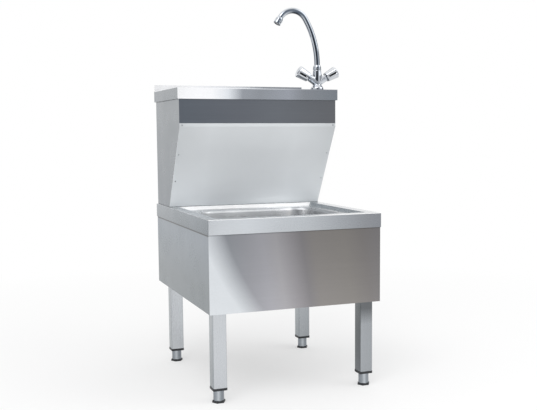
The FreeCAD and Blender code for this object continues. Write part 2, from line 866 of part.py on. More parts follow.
def make_leg_bolts():
    """One hex bolt through each leg into the rail, with its nut inside the rail."""
    head = number("bolt_head") / math.sqrt(3)
    head_height = number("bolt_head_height")
    radius = number("bolt_radius")
    wall = number("rail_wall")
    size = number("leg_size")
    height = number("rail_bottom") + number("rail_height") / 2

    def prism(x, y, toward):
        corners = []
        for i in range(7):
            turn = math.radians(60 * i)
            corners.append(V(x, y + head * math.cos(turn), height + head * math.sin(turn)))
        return Part.Face(Part.makePolygon(corners)).extrude(V(toward * head_height, 0, 0))

    bolts = []
    for side in (-1, 1):
        for y in (number("leg_front_y"), number("leg_rear_y")):
            inner = side * (number("leg_x") - size / 2)
            outer = side * (number("leg_x") + size / 2 + wall)
            length = size + wall + head_height
            shank = Part.makeCylinder(radius, length, V(inner, y, height), V(side, 0, 0))
            bolt = shank.fuse([prism(inner, y, -side), prism(outer, y, side)]).removeSplitter()
            bolts.append(bolt)
    return joined("leg_bolts", bolts)


def screw(seat, outward, length):
    """A small domed screw: its head stands on the seat and its shank goes back into the sheet."""
    radius = number("screw_radius")
    head = number("screw_head")
    rise = number("screw_head_height")
    ball = (head * head + rise * rise) / (2 * rise)
    dome = Part.makeSphere(ball, V(0, 0, rise - ball))
    disc = Part.makeCylinder(head, rise, V(0, 0, 0))
    shank = Part.makeCylinder(radius, length, V(0, 0, -length))
    piece = dome.common(disc).fuse(shank).removeSplitter()
    piece.Placement = FreeCAD.Placement(seat, FreeCAD.Rotation(V(0, 0, 1), outward))
    return piece


def panel_screw_seats():
    """Seats on the access panel's face: one pair on its upright strip and two pairs on its lean."""
    lean = number("lean")
    across = number("upper_x") - number("screw_edge")
    upright_z = (number("band_bottom") + number("bend_height")) / 2
    seats = [(V(0, number("band_face"), upright_z), V(0, -1, 0))]
    out = V(0, -1, -lean)
    out.normalize()
    run = number("bend_height") - number("sink_height")
    for share in (1 / 3, 2 / 3):
        z = number("bend_height") - run * share
        seats.append((V(0, number("band_face") + lean * run * share, z), out))
    placed = []
    for side in (-1, 1):
        for seat, outward in seats:
            placed.append((seat + V(side * across, 0, 0), outward))
    return placed


def drill_for_screws(body):
    """Clearance holes for the panel's screws, cut at their seats."""
    radius = number("screw_radius") + number("screw_play")
    reach = 4 * number("sheet")
    tools = [Part.makeCylinder(radius, 2 * reach, seat + out * reach, -out) for seat, out in panel_screw_seats()]
    drilled = doc.addObject("Part::Feature", body.Name + "_drilled")
    shape = body.Shape.copy()
    shape.Placement = FreeCAD.Placement()
    drilled.Shape = shape.cut(tools)
    drilled.Placement = body.Placement
    label = body.Label
    body.Label = label + "_blank"
    drilled.Label = label
    return drilled


def make_panel_screws():
    length = 2 * number("sheet") + 3
    return joined("panel_screws", [screw(seat, out, length) for seat, out in panel_screw_seats()])


def make_lip_screws():
    length = number("upper_inset") + 2 * number("sheet")
    screws = []
    for side in (-1, 1):
        for place in ("fore_screw_y", "back_screw_y"):
            height = number("top_height") - number("lip_screw_drop")
            seat = V(side * number("half_width"), number(place), height)
            screws.append(screw(seat, V(side, 0, 0), length))
    return joined("lip_screws", screws)


# ---------------------------------------------------------------- wastes and pipe
def make_strainer(label, x, y, z, drain, flange, shank_length):
    """Perforated waste fitting: a flange in the bowl and a threaded shank through its floor."""
    body = new_body(label, x=x, y=y, z=z)
    shank = f"{drain} - drain_play"
    half = new_sketch(body, "XZ_Plane")
    polygon(half, [
        ("0", "0"),
        (f"{shank} - drain_wall", "0"),
        (f"{shank} - drain_wall", f"-({shank_length})"),
        (shank, f"-({shank_length})"),
        (shank, "0"),
        (flange, "0"),
        (f"{flange} - flange_height", "flange_height"),
        (shank, "flange_height"),
        (f"{shank} - drain_wall", "flange_height / 2"),
        ("0", "flange_height / 2"),
    ])
    revolution(body, half)
    centre = new_sketch(body, "XY_Plane", "flange_height")
    circle(centre, "0", "0", "strainer_hole")
    pocket(body, centre, "2 * flange_height")
    hole = new_sketch(body, "XY_Plane", "flange_height")
    circle(hole, f"({shank} - drain_wall) * 0.6", "0", "strainer_hole")
    ring = pocket(body, hole, "2 * flange_height")
    repeat(body, [ring], "strainer_holes")
    return body


def make_ring(label, x, y, z, inner, outer, height):
    body = new_body(label, x=x, y=y, z=z)
    half = new_sketch(body, "XZ_Plane")
    rectangle(half, inner, "0", outer, height)
    revolution(body, half)
    return body


def make_sink_tee():
    """Body of the lower waste. The outlet points down and the side socket takes the upper pipe."""
    body = new_body("sink_waste_tee", y="sink_bowl_y", z="tee_top", angle="plan_turn")
    shank = "sink_drain - drain_play"
    half = new_sketch(body, "XZ_Plane")
    polygon(half, [
        ("0", "0"),
        ("sink_flange - flange_height", "0"),
        ("sink_flange - flange_height", "-flange_height - tee_wall"),
        (f"{shank} + tee_wall", "-flange_height - tee_wall"),
        (f"{shank} + tee_wall", "-tee_height"),
        ("sink_thread", "-tee_height"),
        ("sink_thread", "-tee_height - outlet_length"),
        ("0", "-tee_height - outlet_length"),
    ])
    revolution(body, half)
    socket = new_sketch(body, "XZ_Plane")
    circle(socket, "0", "tee_inlet - tee_top", "pipe_radius + socket_wall")
    pad(body, socket, "tee_reach", reverse=True)
    chamber = new_sketch(body, "XY_Plane")
    circle(chamber, "0", "0", shank)
    pocket(body, chamber, "tee_height - tee_wall")
    outlet = new_sketch(body, "XY_Plane")
    circle(outlet, "0", "0", "sink_thread - drain_wall")
    pocket(body, outlet, "tee_height + outlet_length")
    bore = new_sketch(body, "XZ_Plane")
    circle(bore, "0", "tee_inlet - tee_top", "pipe_radius")
    pocket(body, bore, "tee_reach")
    return body


def make_hand_waste():
    """Body of the hand bowl's waste: a collar under the floor and a socket for the pipe."""
    body = new_body(
        "hand_waste_body", x="hand_bowl_x", y="hand_bowl_y", z="hand_floor - bowl_sheet - gasket_height"
    )
    half = new_sketch(body, "XZ_Plane")
    polygon(half, [
        ("hand_shank", "0"),
        ("hand_flange - flange_height", "0"),
        ("hand_flange - flange_height", "-flange_height - tee_wall"),
        ("hand_shank + socket_wall", "-flange_height - tee_wall"),
        ("hand_shank + socket_wall", "-socket_length / 2"),
        ("pipe_radius + socket_wall", "-socket_length / 2 - socket_wall"),
        ("pipe_radius + socket_wall", "-socket_length"),
        ("pipe_radius", "-socket_length"),
        ("pipe_radius", "-socket_length / 2 - socket_wall"),
        ("hand_shank", "-socket_length / 2"),
    ])
    revolution(body, half)
    return body


def follow(sketch, legs):
    """Draws straight runs and arcs end to end, each tangent to the one before it.

    A run is ("line", length) and an arc ("arc", radius, angle, hand), all names of sizes.
    The first run goes straight up from the sketch's origin.
    """
    at = V(0, 0, 0)
    heading = math.pi / 2
    previous = None
    for leg in legs:
        if leg[0] == "line":
            length = number(leg[1])
            end = at + V(math.cos(heading), math.sin(heading), 0) * length
            index = sketch.addGeometry(Part.LineSegment(at, end), False)
            bind(sketch, Sketcher.Constraint("Distance", index, length), leg[1])
            start_point, end_point = 1, 2
        else:
            radius, turn, hand = number(leg[1]), math.radians(number(leg[2])), leg[3]
            centre = at + V(-math.sin(heading), math.cos(heading), 0) * radius * hand
            from_centre = math.atan2(at.y - centre.y, at.x - centre.x)
            to = from_centre + turn * hand
            round_centre = Part.Circle(centre, V(0, 0, 1), radius)
            arc = Part.ArcOfCircle(round_centre, min(from_centre, to), max(from_centre, to))
            index = sketch.addGeometry(arc, False)
            end = centre + V(math.cos(to), math.sin(to), 0) * radius
            heading += turn * hand
            start_point, end_point = (1, 2) if hand > 0 else (2, 1)
            bind(sketch, Sketcher.Constraint("Radius", index, radius), leg[1])
            bind(sketch, Sketcher.Constraint("Angle", index, turn), f"{leg[2]} * 1deg")
        if previous is None:
            sketch.addConstraint(Sketcher.Constraint("Coincident", index, start_point, -1, 1))
            sketch.addConstraint(Sketcher.Constraint("Vertical", index))
        else:
            sketch.addConstraint(Sketcher.Constraint("Tangent", previous[0], previous[1], index, start_point))
        previous = (index, end_point)
        at = end


def make_tube(body, legs, radius, wall):
    """A tube along the tangent runs and arcs, which start on the body's own XY plane."""
    path = new_sketch(body, "XZ_Plane")
    follow(path, legs)
    for size, kind in ((radius, "AdditivePipe"), (f"{radius} - {wall}", "SubtractivePipe")):
        ring = new_sketch(body, "XY_Plane")
        circle(ring, "0", "0", size)
        pipe = body.newObject("PartDesign::" + kind, body.Name + "_" + kind.lower())
        pipe.Profile = ring
        pipe.Spine = (path, [])
        doc.recompute()
    return body


# The pipe lies in the upright plane through both drains. It starts in the tee's socket, runs
# back under the lower bowl, climbs behind it and comes forward again to the hand bowl.
derive("pipe_first", "plan_run + pipe_back - pipe_bend - (sink_drain - drain_play + tee_wall + 1)")
derive("quarter_turn", "90")
derive("slant_angle", "atan(pipe_back / pipe_drop) / 1deg")
derive("slant_cut", "pipe_bend * tan(slant_angle / 2 * 1deg)")
derive("slant_run", "sqrt(pipe_back^2 + pipe_drop^2) - 2 * slant_cut")
derive("pipe_top", "hand_socket_end + socket_length / 2 - socket_wall")
derive("last_run", "pipe_run")
derive("climb", "pipe_top - last_run - slant_cut - pipe_drop - slant_cut - tee_inlet - pipe_bend")


def make_waste_pipe():
    body = new_body(
        "waste_pipe",
        x="-(sink_drain - drain_play + tee_wall + 1) * sin(plan_turn * 1deg)",
        y="sink_bowl_y + (sink_drain - drain_play + tee_wall + 1) * cos(plan_turn * 1deg)",
        z="tee_inlet",
    )
    # the sketch's upward first run is laid level, pointing to the rear along the plan line
    lay = FreeCAD.Rotation(V(0, 0, 1), number("plan_turn")).multiply(
        FreeCAD.Rotation(V(0, 0, 1), 90).multiply(FreeCAD.Rotation(V(0, 1, 0), 90))
    )
    body.Placement = FreeCAD.Placement(body.Placement.Base, lay)
    legs = [
        ("line", "pipe_first"),
        ("arc", "pipe_bend", "quarter_turn", 1),
        ("line", "climb"),
        ("arc", "pipe_bend", "slant_angle", 1),
        ("line", "slant_run"),
        ("arc", "pipe_bend", "slant_angle", -1),
        ("line", "last_run"),
    ]
    return make_tube(body, legs, "pipe_radius", "pipe_wall")


def make_waste_nuts():
    """The two union nuts that hold the pipe in its sockets."""
    inner = number("pipe_radius")
    outer = inner + number("socket_wall") + number("nut_wall")
    length = number("nut_length")
    turn = math.radians(number("plan_turn"))
    along = V(-math.sin(turn), math.cos(turn), 0)
    level = V(0, number("sink_bowl_y"), number("tee_inlet")) + along * number("tee_reach")
    upright_seat = V(number("hand_bowl_x"), number("hand_bowl_y"), number("hand_socket_end"))
    nuts = []
    for seat, way in ((level, along), (upright_seat, V(0, 0, -1))):
        ring = Part.makeCylinder(outer, length, seat, way)
        nuts.append(ring.cut(Part.makeCylinder(inner, length, seat, way)))
    return joined("waste_nuts", nuts)


# ---------------------------------------------------------------- tap
TAP_Z = "top_height"


def tap_part(label, z="0", x="0"):
    return new_body(label, x=f"tap_x + ({x})", y="tap_y", z=f"{TAP_Z} + ({z})")


def arm_part(label, side):
    """A body whose own Z axis runs out along one of the tap's two arms."""
    tilt = "(90 - arm_tilt)" if side > 0 else "-(90 - arm_tilt)"
    return new_body(
        label, x="tap_x", y="tap_y", z=f"{TAP_Z} + arm_height", axis=V(0, 1, 0), angle=tilt
    )


def make_tap_body():
    """Cast body: a flared foot, a waisted column with the spout's socket, and two raised arms."""
    body = tap_part("tap_body")
    half = new_sketch(body, "XZ_Plane")
    polygon(half, [
        ("0", "-sheet"),
        ("tap_spigot", "-sheet"),
        ("tap_spigot", "tap_gasket_height"),
        ("tap_base", "tap_gasket_height"),
        ("tap_base", "tap_gasket_height + 3"),
        ("tap_waist", "tap_waist_height"),
        ("tap_neck + 1.5", "tap_neck_height - 2 * collar_drop"),
        ("tap_neck + 1.5", "tap_neck_height - collar_drop"),
        ("tap_neck", "tap_neck_height - collar_drop"),
        ("tap_neck", "tap_neck_height"),
        ("0", "tap_neck_height"),
    ])
    revolution(body, half)
    for side in ("", "-"):
        arm = new_sketch(body, "XZ_Plane")
        cosine, sine = "cos(arm_tilt * 1deg)", "sin(arm_tilt * 1deg)"

        def along(reach, out):
            x = f"{side}(({reach}) * {cosine} - ({out}) * {sine})"
            z = f"arm_height + ({reach}) * {sine} + ({out}) * {cosine}"
            return (x, z)

        polygon(arm, [
            along("0", "0"),
            along("arm_length", "0"),
            along("arm_length", "arm_radius"),
            along("arm_length / 2", "arm_radius"),
            along("0", "arm_radius + 1.5"),
        ])
        line = arm.addGeometry(Part.LineSegment(V(0, 0, 0), V(1, 1, 0)), True)
        pin_point(arm, line, 1, *along("0", "0"))
        pin_point(arm, line, 2, *along("arm_length", "0"))
        revolution(body, arm, "Axis0")
        seat = new_sketch(body, "XZ_Plane")
        polygon(seat, [
            along("arm_length - headwork_seat", "0"),
            along("arm_length + 1", "0"),
            along("arm_length + 1", "headwork_radius"),
            along("arm_length - headwork_seat", "headwork_radius"),
        ])
        line = seat.addGeometry(Part.LineSegment(V(0, 0, 0), V(1, 1, 0)), True)
        pin_point(seat, line, 1, *along("0", "0"))
        pin_point(seat, line, 2, *along("arm_length", "0"))
        groove = body.newObject("PartDesign::Groove", "tap_body_groove")
        groove.Profile = seat
        groove.ReferenceAxis = (seat, ["Axis0"])
        groove.Angle = 360
        doc.recompute()
    bore = new_sketch(body, "XY_Plane", "tap_neck_height")
    circle(bore, "0", "0", "spout_radius + spout_play")
    pocket(body, bore, "spout_spigot + spout_gap")
    inlets = new_sketch(body, "XY_Plane", "-sheet")
    for x in ("-inlet_x", "inlet_x"):
        circle(inlets, x, "inlet_y", "inlet_radius")
    pocket(body, inlets, "inlet_depth", reverse=True)
    stud = new_sketch(body, "XY_Plane", "-sheet")
    circle(stud, "0", "stud_y", "stud_radius")
    pocket(body, stud, "inlet_depth / 2", reverse=True)
    return body


def make_tap_washer():
    """Horseshoe washer that clamps the tap from below, open to the front for the inlets."""
    body = tap_part("tap_washer", z="-sheet - washer_height")
    outline = new_sketch(body, "XY_Plane")
    circle(outline, "0", "0", "washer_radius")
    pad(body, outline, "washer_height")
    slot = new_sketch(body, "XY_Plane")
    rectangle(slot, "-washer_slot", "-washer_radius - 1", "washer_slot", "stud_y - stud_radius - 1.5")
    pocket(body, slot, "washer_height", reverse=True)
    hole = new_sketch(body, "XY_Plane")
    circle(hole, "0", "stud_y", "stud_radius + bolt_play")
    pocket(body, hole, "washer_height", reverse=True)
    return body


def make_tap_stud():
    body = tap_part("tap_stud", z="-sheet - stud_length")
    outline = new_sketch(body, "XY_Plane")
    circle(outline, "0", "stud_y", "stud_radius")
    pad(body, outline, "stud_length + inlet_depth / 2")
    return body


def make_tap_nut():
    body = tap_part("tap_nut", z="-sheet - washer_height - stud_nut_height")
    outline = new_sketch(body, "XY_Plane")
    hexagon(outline, "0", "stud_y", "stud_nut")
    circle(outline, "0", "stud_y", "stud_radius")
    pad(body, outline, "stud_nut_height")
    return body


def make_spout_collar():
    """Round union nut on the body's neck. It holds the spout's ring down and lets it turn."""
    body = tap_part("spout_collar")
    half = new_sketch(body, "XZ_Plane")
    polygon(half, [
        ("tap_neck", "tap_neck_height - collar_drop"),
        ("collar_radius", "tap_neck_height - collar_drop"),
        ("collar_radius", "collar_top - 2"),
        ("collar_radius - 2", "collar_top"),
        ("spout_radius + spout_gap", "collar_top"),
        ("spout_radius + spout_gap", "ring_top + spout_gap"),
        ("tap_neck", "ring_top + spout_gap"),
    ])
    revolution(body, half)
    return body


def make_spout():
    """Swan-neck tube on a plain spigot, with the ring that the collar holds."""
    body = tap_part("spout", z="spout_base")
    legs = [
        ("line", "spout_first"),
        ("arc", "rise_radius", "rise_angle", 1),
        ("arc", "bend_radius", "bend_angle", 1),
        ("line", "spout_tail"),
    ]
    make_tube(body, legs, "spout_radius", "spout_wall")
    half = new_sketch(body, "XZ_Plane")
    rectangle(half, "spout_radius - spout_wall / 2", "ring_base - spout_base", "spout_ring", "ring_top - spout_base")
    revolution(body, half)
    return body


def nozzle_part(label):
    return new_body(
        label, x="tap_x + spout_end_x", y="tap_y", z=f"{TAP_Z} + spout_end_z", axis=V(0, 1, 0), angle="-spout_turn"
    )


def make_aerator_housing():
    body = nozzle_part("aerator_housing")
    half = new_sketch(body, "XZ_Plane")
    polygon(half, [
        ("spout_radius - spout_wall", "0"),
        ("spout_radius + 0.5", "0"),
        ("aerator_radius", "3"),
        ("aerator_radius", "aerator_length"),
        ("aerator_radius - aerator_wall", "aerator_length"),
        ("aerator_radius - aerator_wall", "4"),
        ("spout_radius - spout_wall", "4"),
    ])
    revolution(body, half)
    return body


def make_aerator_insert():
    """Plastic jet insert, a ring of slots set back from the nozzle's rim."""
    body = nozzle_part("aerator_insert")
    outline = new_sketch(body, "XY_Plane", "4")
    circle(outline, "0", "0", "aerator_radius - aerator_wall")
    pad(body, outline, "aerator_length - aerator_recess - 4")
    hole = new_sketch(body, "XY_Plane", "4")
    circle(hole, "aerator_radius * 0.5", "0", "aerator_radius * 0.13")
    ring = pocket(body, hole, "aerator_length", reverse=True)
    repeat(body, [ring], "strainer_holes")
    return body


def make_headwork(label, side):
    """Valve headwork: seated in the arm, with a hex flange and the spindle's gland."""
    body = arm_part(label, side)
    half = new_sketch(body, "XZ_Plane")
    polygon(half, [
        ("0", "arm_length - headwork_seat"),
        ("headwork_radius", "arm_length - headwork_seat"),
        ("headwork_radius", "arm_length"),
        ("headwork_flange", "arm_length"),
        ("headwork_flange", "arm_length + headwork_flange_height"),
        ("headwork_neck", "arm_length + headwork_flange_height"),
        ("headwork_neck", "arm_length + headwork_flange_height + headwork_neck_height"),
        ("0", "arm_length + headwork_flange_height + headwork_neck_height"),
    ])
    revolution(body, half)
    bore = new_sketch(body, "XY_Plane", "spindle_start - spout_gap")
    circle(bore, "0", "0", "spindle_radius + spindle_play")
    pocket(body, bore, "arm_length", reverse=True)
    return body


def make_spindle(label, side):
    body = arm_part(label, side)
    outline = new_sketch(body, "XY_Plane", "spindle_start")
    circle(outline, "0", "0", "spindle_radius")
    pad(body, outline, "spindle_length")
    return body


def make_handle(label, side):
    """Lobed handle: a flaring round grip with scalloped grooves and a hollow over the headwork."""
    body = arm_part(label, side)
    half = new_sketch(body, "XZ_Plane")
    polygon(half, [
        ("0", "handle_start"),
        ("handle_inner", "handle_start"),
        ("handle_outer", "handle_end - handle_dome"),
        ("handle_outer - handle_dome", "handle_end"),
        ("0", "handle_end"),
    ])
    revolution(body, half)
    groove = new_sketch(body, "XY_Plane", "handle_start - 1")
    circle(groove, "handle_outer + lobe_groove * 0.45", "0", "lobe_groove")
    cut = pocket(body, groove, "handle_length + 2", reverse=True)
    repeat(body, [cut], "lobe_count")
    hollow = new_sketch(body, "XY_Plane", "handle_start")
    circle(hollow, "0", "0", "handle_hollow")
    pocket(body, hollow, "handle_hollow_depth", reverse=True)
    socket = new_sketch(body, "XY_Plane", "handle_start")
    circle(socket, "0", "0", "spindle_radius")
    pocket(body, socket, "spindle_start + spindle_length - handle_start", reverse=True)
    dish = new_sketch(body, "XY_Plane", "handle_end")
    circle(dish, "0", "0", "cap_radius")
    pocket(body, dish, "cap_height / 2")
    return body


def make_handle_cap(label, side):
    body = arm_part(label, side)
    outline = new_sketch(body, "XY_Plane", "handle_end - cap_height / 2")
    circle(outline, "0", "0", "cap_radius")
    pad(body, outline, "cap_height")
    top = [edge for edge in body.Tip.Shape.Edges if isinstance(edge.Curve, Part.Circle)]
    rim = max(top, key=lambda edge: edge.Curve.Center.z)
    dress(body, "Fillet", edge_names(body.Tip.Shape, lambda edge: edge.isSame(rim)), "cap_height / 3")
    return body


# ---------------------------------------------------------------- the assembly
derive("spout_first", "spout_spigot + spout_straight")

parts = [
    make_sink_top(),
    make_bowl("sink_bowl", "sink_bowl", "0", "sink_bowl_y", "deck_height", "sink_drain"),
    make_apron_end("apron_front", "apron_y", -1),
    make_apron_end("apron_rear", "-apron_y", 1),
    make_apron_side("apron_left", -1),
    make_apron_side("apron_right", 1),
    make_rail("rail_left", -1),
    make_rail("rail_right", 1),
]
for name, (x, y) in LEGS.items():
    parts.append(make_leg(name, x, y))
    parts.append(make_leg_insert(name, x, y))
    parts.append(make_foot_stem(name, x, y))
    parts.append(make_foot_base(name, x, y))
parts.append(make_leg_bolts())
parts.append(make_upper_top())
parts.append(make_bowl("hand_bowl", "hand_bowl", "hand_bowl_x", "hand_bowl_y", "top_height", "hand_drain"))
for label, side in (("upper_side_left", -1), ("upper_side_right", 1)):
    parts.append(drill_for_screws(make_upper_side(label, side)))
parts.append(make_upper_back())
parts.append(make_front_band())
parts.append(drill_for_screws(make_access_panel()))
parts.append(make_panel_screws())
parts.append(make_lip_screws())
parts.append(make_strainer(
    "sink_strainer", "0", "sink_bowl_y", "sink_floor", "sink_drain", "sink_flange", "shank_length"
))
parts.append(make_ring(
    "sink_waste_gasket", "0", "sink_bowl_y", "tee_top", "sink_drain", "sink_flange - 4", "gasket_height"
))
parts.append(make_sink_tee())
parts.append(make_strainer(
    "hand_strainer", "hand_bowl_x", "hand_bowl_y", "hand_floor", "hand_drain", "hand_flange", "shank_length"
))
parts.append(make_ring(
    "hand_waste_gasket",
    "hand_bowl_x",
    "hand_bowl_y",
    "hand_floor - bowl_sheet - gasket_height",
    "hand_drain",
    "hand_flange - 4",
    "gasket_height",
))
parts.append(make_hand_waste())
parts.append(make_waste_pipe())
parts.append(make_waste_nuts())
parts.append(make_ring("tap_gasket", "tap_x", "tap_y", TAP_Z, "tap_spigot", "tap_base - 1", "tap_gasket_height"))
parts.append(make_tap_body())
parts.append(make_tap_washer())
parts.append(make_tap_stud())
parts.append(make_tap_nut())
parts.append(make_spout_collar())
parts.append(make_spout())
parts.append(make_aerator_housing())
parts.append(make_aerator_insert())
for label, side in (("left", -1), ("right", 1)):
    parts.append(make_headwork("headwork_" + label, side))
    parts.append(make_spindle("spindle_" + label, side))
    parts.append(make_handle("handle_" + label, side))
    parts.append(make_handle_cap("handle_cap_" + label, side))
doc.recompute()

# ---------------------------------------------------------------- check and export
for item in doc.Objects:
    if "Invalid" in item.State or "Error" in item.State:
        raise RuntimeError(f"{item.Name} ({item.Label}) failed: {item.State}")
os.makedirs("parts", exist_ok=True)
for part in parts:
    if part.Shape.isNull() or not part.Shape.isValid():
        raise RuntimeError(f"{part.Label} has no valid shape")
    part.Shape.exportStep(f"parts/{part.Label}.step")
box = Part.makeCompound([part.Shape for part in parts]).BoundBox
print(f"{len(parts)} sub-parts, {box.XLength:.1f} x {box.YLength:.1f} x {box.ZLength:.1f} mm")
print(f"x {box.XMin:.2f} to {box.XMax:.2f}, y {box.YMin:.2f} to {box.YMax:.2f}, z {box.ZMin:.2f} to {box.ZMax:.2f}")
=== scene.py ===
import math

import bmesh
import bpy
from mathutils import Matrix, Vector


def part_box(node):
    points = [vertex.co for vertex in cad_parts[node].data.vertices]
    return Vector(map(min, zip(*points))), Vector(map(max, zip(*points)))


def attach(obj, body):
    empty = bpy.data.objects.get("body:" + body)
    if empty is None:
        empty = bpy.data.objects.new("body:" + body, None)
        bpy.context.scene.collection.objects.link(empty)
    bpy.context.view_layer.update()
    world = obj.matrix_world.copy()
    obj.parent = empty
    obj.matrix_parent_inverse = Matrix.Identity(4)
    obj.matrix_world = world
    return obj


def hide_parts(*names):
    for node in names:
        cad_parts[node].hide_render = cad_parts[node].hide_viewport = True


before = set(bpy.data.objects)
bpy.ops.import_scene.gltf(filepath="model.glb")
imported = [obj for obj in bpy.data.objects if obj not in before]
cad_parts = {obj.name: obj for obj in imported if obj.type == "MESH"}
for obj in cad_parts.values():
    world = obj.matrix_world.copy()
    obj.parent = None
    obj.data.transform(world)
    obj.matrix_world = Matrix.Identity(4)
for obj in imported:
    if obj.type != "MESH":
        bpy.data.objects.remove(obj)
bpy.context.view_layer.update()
print("frame loaded:", len(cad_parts), "CAD nodes")

mm = 0.001
sinkLow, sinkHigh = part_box("sink_top")
middleX = (sinkLow.x + sinkHigh.x) / 2


# the camera, solved from the photograph's corners
camera = {
    "place": Vector((middleX - 0.8522, -2.4366, 0.7149)),
    "yaw": 21.714,
    "pitch": 5.930,
    "roll": -0.315,
    "focalPixels": 861.95,
    "axisPixel": (297.55, 223.81),
    "picture": (537, 410),
    "film": 36,
    "clip": (0.05, 100),
}


def setCamera(settings):
    data = bpy.data.cameras.new("camera")
    eye = bpy.data.objects.new("camera", data)
    bpy.context.scene.collection.objects.link(eye)
    width, height = settings["picture"]
    data.sensor_width = settings["film"]
    data.lens = settings["focalPixels"] / width * settings["film"]
    data.shift_x = -(settings["axisPixel"][0] - width / 2) / width
    data.shift_y = (settings["axisPixel"][1] - height / 2) / width
    data.clip_start, data.clip_end = settings["clip"]
    yaw, pitch, roll = (math.radians(settings[k]) for k in ("yaw", "pitch", "roll"))
    ahead = Vector((math.sin(yaw) * math.cos(pitch), math.cos(yaw) * math.cos(pitch), -math.sin(pitch)))
    level = Vector((math.cos(yaw), -math.sin(yaw), 0))
    up = level.cross(ahead)
    right = level * math.cos(roll) + up * math.sin(roll)
    top = up * math.cos(roll) - level * math.sin(roll)
    turn = Matrix((right, top, -ahead)).transposed().to_4x4()
    eye.matrix_world = Matrix.Translation(settings["place"]) @ turn
    bpy.context.scene.camera = eye


setCamera(camera)
print("camera set")


class Wire:
    # a socket whose sums and products add their own Math nodes
    def __init__(self, tree, socket):
        self.tree = tree
        self.socket = socket

    def maths(self, operation, other, flipped=False):
        pair = (other, self) if flipped else (self, other)
        return self.tree.add("ShaderNodeMath", {"operation": operation}, {0: pair[0], 1: pair[1]})

    def __add__(self, other):
        return self.maths("ADD", other)

    def __radd__(self, other):
        return self.maths("ADD", other, True)

    def __sub__(self, other):
        return self.maths("SUBTRACT", other)

    def __rsub__(self, other):
        return self.maths("SUBTRACT", other, True)

    def __mul__(self, other):
        return self.maths("MULTIPLY", other)

    def __rmul__(self, other):
        return self.maths("MULTIPLY", other, True)


class Tree:
    # the node tree of a material, of the world or of a modifier
    def __init__(self, nodeTree):
        self.nodes = nodeTree.nodes
        self.links = nodeTree.links

    def add(self, kind, settings=None, values=None, output=0):
        node = self.nodes.new(kind)
        for key, value in (settings or {}).items():
            if key == "stops":
                ramp = node.color_ramp
                while len(ramp.elements) < len(value):
                    ramp.elements.new(0.5)
                for element, (place, colour) in zip(ramp.elements, value):
                    element.position = place
                    element.color = colour
            else:
                setattr(node, key, value)
        for key, value in (values or {}).items():
            self.feed(node.inputs[key], value)
        if node.outputs:
            return Wire(self, node.outputs[output])

    def feed(self, socket, value):
        if isinstance(value, Wire):
            self.links.new(value.socket, socket)
        else:
            socket.default_value = value

    def between(self, value, low, high, start=0.0, end=1.0):
        # low where the value is at start or below, high at end or above
        return self.add("ShaderNodeMapRange", {"clamp": True}, {0: value, 1: start, 2: end, 3: low, 4: high})

    def seen(self):
        # 1 for what the camera, a reflection or glass looks at, 0 for plain light
        camera, glossy, clear = (
            self.add("ShaderNodeLightPath", output="Is " + ray + " Ray")
            for ray in ("Camera", "Glossy", "Transmission")
        )
        return self.between(camera + glossy + clear, 0.0, 1.0)


class Finish(Tree):
    def __init__(self, name):
        self.material = bpy.data.materials.new(name)
        self.material.use_nodes = True
        super().__init__(self.material.node_tree)
        self.shader = self.nodes["Principled BSDF"]

    def set(self, **values):
        for key, value in values.items():
            self.feed(self.shader.inputs[key.replace("_", " ")], value)

    def axis(self, letter):
        spot = self.add("ShaderNodeTexCoord", output="Object")
        return self.add("ShaderNodeSeparateXYZ", None, {0: spot}, output="XYZ".index(letter))

    def facing(self, letter):
        normal = self.add("ShaderNodeTexCoord", output="Normal")
        return self.add("ShaderNodeSeparateXYZ", None, {0: normal}, output="XYZ".index(letter))

    def above(self, height, blur=0.5):
        # 0 below a height in mm and 1 above it
        return self.between(self.axis("Z"), 0.0, 1.0, (height - blur) * mm, (height + blur) * mm)

    def noise(self, scale, detail=2.0, roughness=0.5, stretch=(1, 1, 1)):
        spot = self.add("ShaderNodeTexCoord", output="Object")
        spot = self.add("ShaderNodeMapping", None, {"Vector": spot, "Scale": stretch})
        settings = {"Vector": spot, "Scale": scale, "Detail": detail, "Roughness": roughness}
        return self.add("ShaderNodeTexNoise", None, settings)

    def mix(self, share, first, second):
        return self.add("ShaderNodeMix", {"data_type": "RGBA"}, {0: share, 6: first, 7: second}, output=2)

    def tint(self, base, colour, share=1.0):
        # the base colour times another colour
        settings = {"data_type": "RGBA", "blend_type": "MULTIPLY"}
        return self.add("ShaderNodeMix", settings, {0: share, 6: base, 7: colour}, output=2)

    def shade(self, base, number):
        # the base colour times a number
        grey = self.add("ShaderNodeCombineColor", None, {0: number, 1: number, 2: number})
        return self.tint(base, grey)

    def ramp(self, share, stops):
        # tones at stated places, in any unit, that a share of 0 to 1 runs through
        start, end = stops[0][0], stops[-1][0]
        places = [((place - start) / (end - start), tone(*level)) for place, level in stops]
        return self.add("ShaderNodeValToRGB", {"stops": places}, {0: share})

    def bump(self, height, strength, distance):
        values = {"Height": height, "Strength": strength, "Distance": distance}
        return self.add("ShaderNodeBump", None, values)


def tone(red, green, blue):
    # a colour as an eye or a paint chart gives it, 11 to 255, in the linear values that shaders use
    return (*[((v / 255 + 0.055) / 1.055) ** 2.4 for v in (red, green, blue)], 1)


white = tone(255, 255, 255)


def alongX(finish, stops, bend=None):
    # tones at stated distances in mm from the cabinet's middle plane, left to right
    across = finish.axis("X")
    if bend:
        slant, pivot = bend
        across = across + (finish.axis("Z") - pivot * mm) * slant
    start, end = middleX + stops[0][0] * mm, middleX + stops[-1][0] * mm
    return finish.ramp(finish.between(across, 0.0, 1.0, start, end), stops)


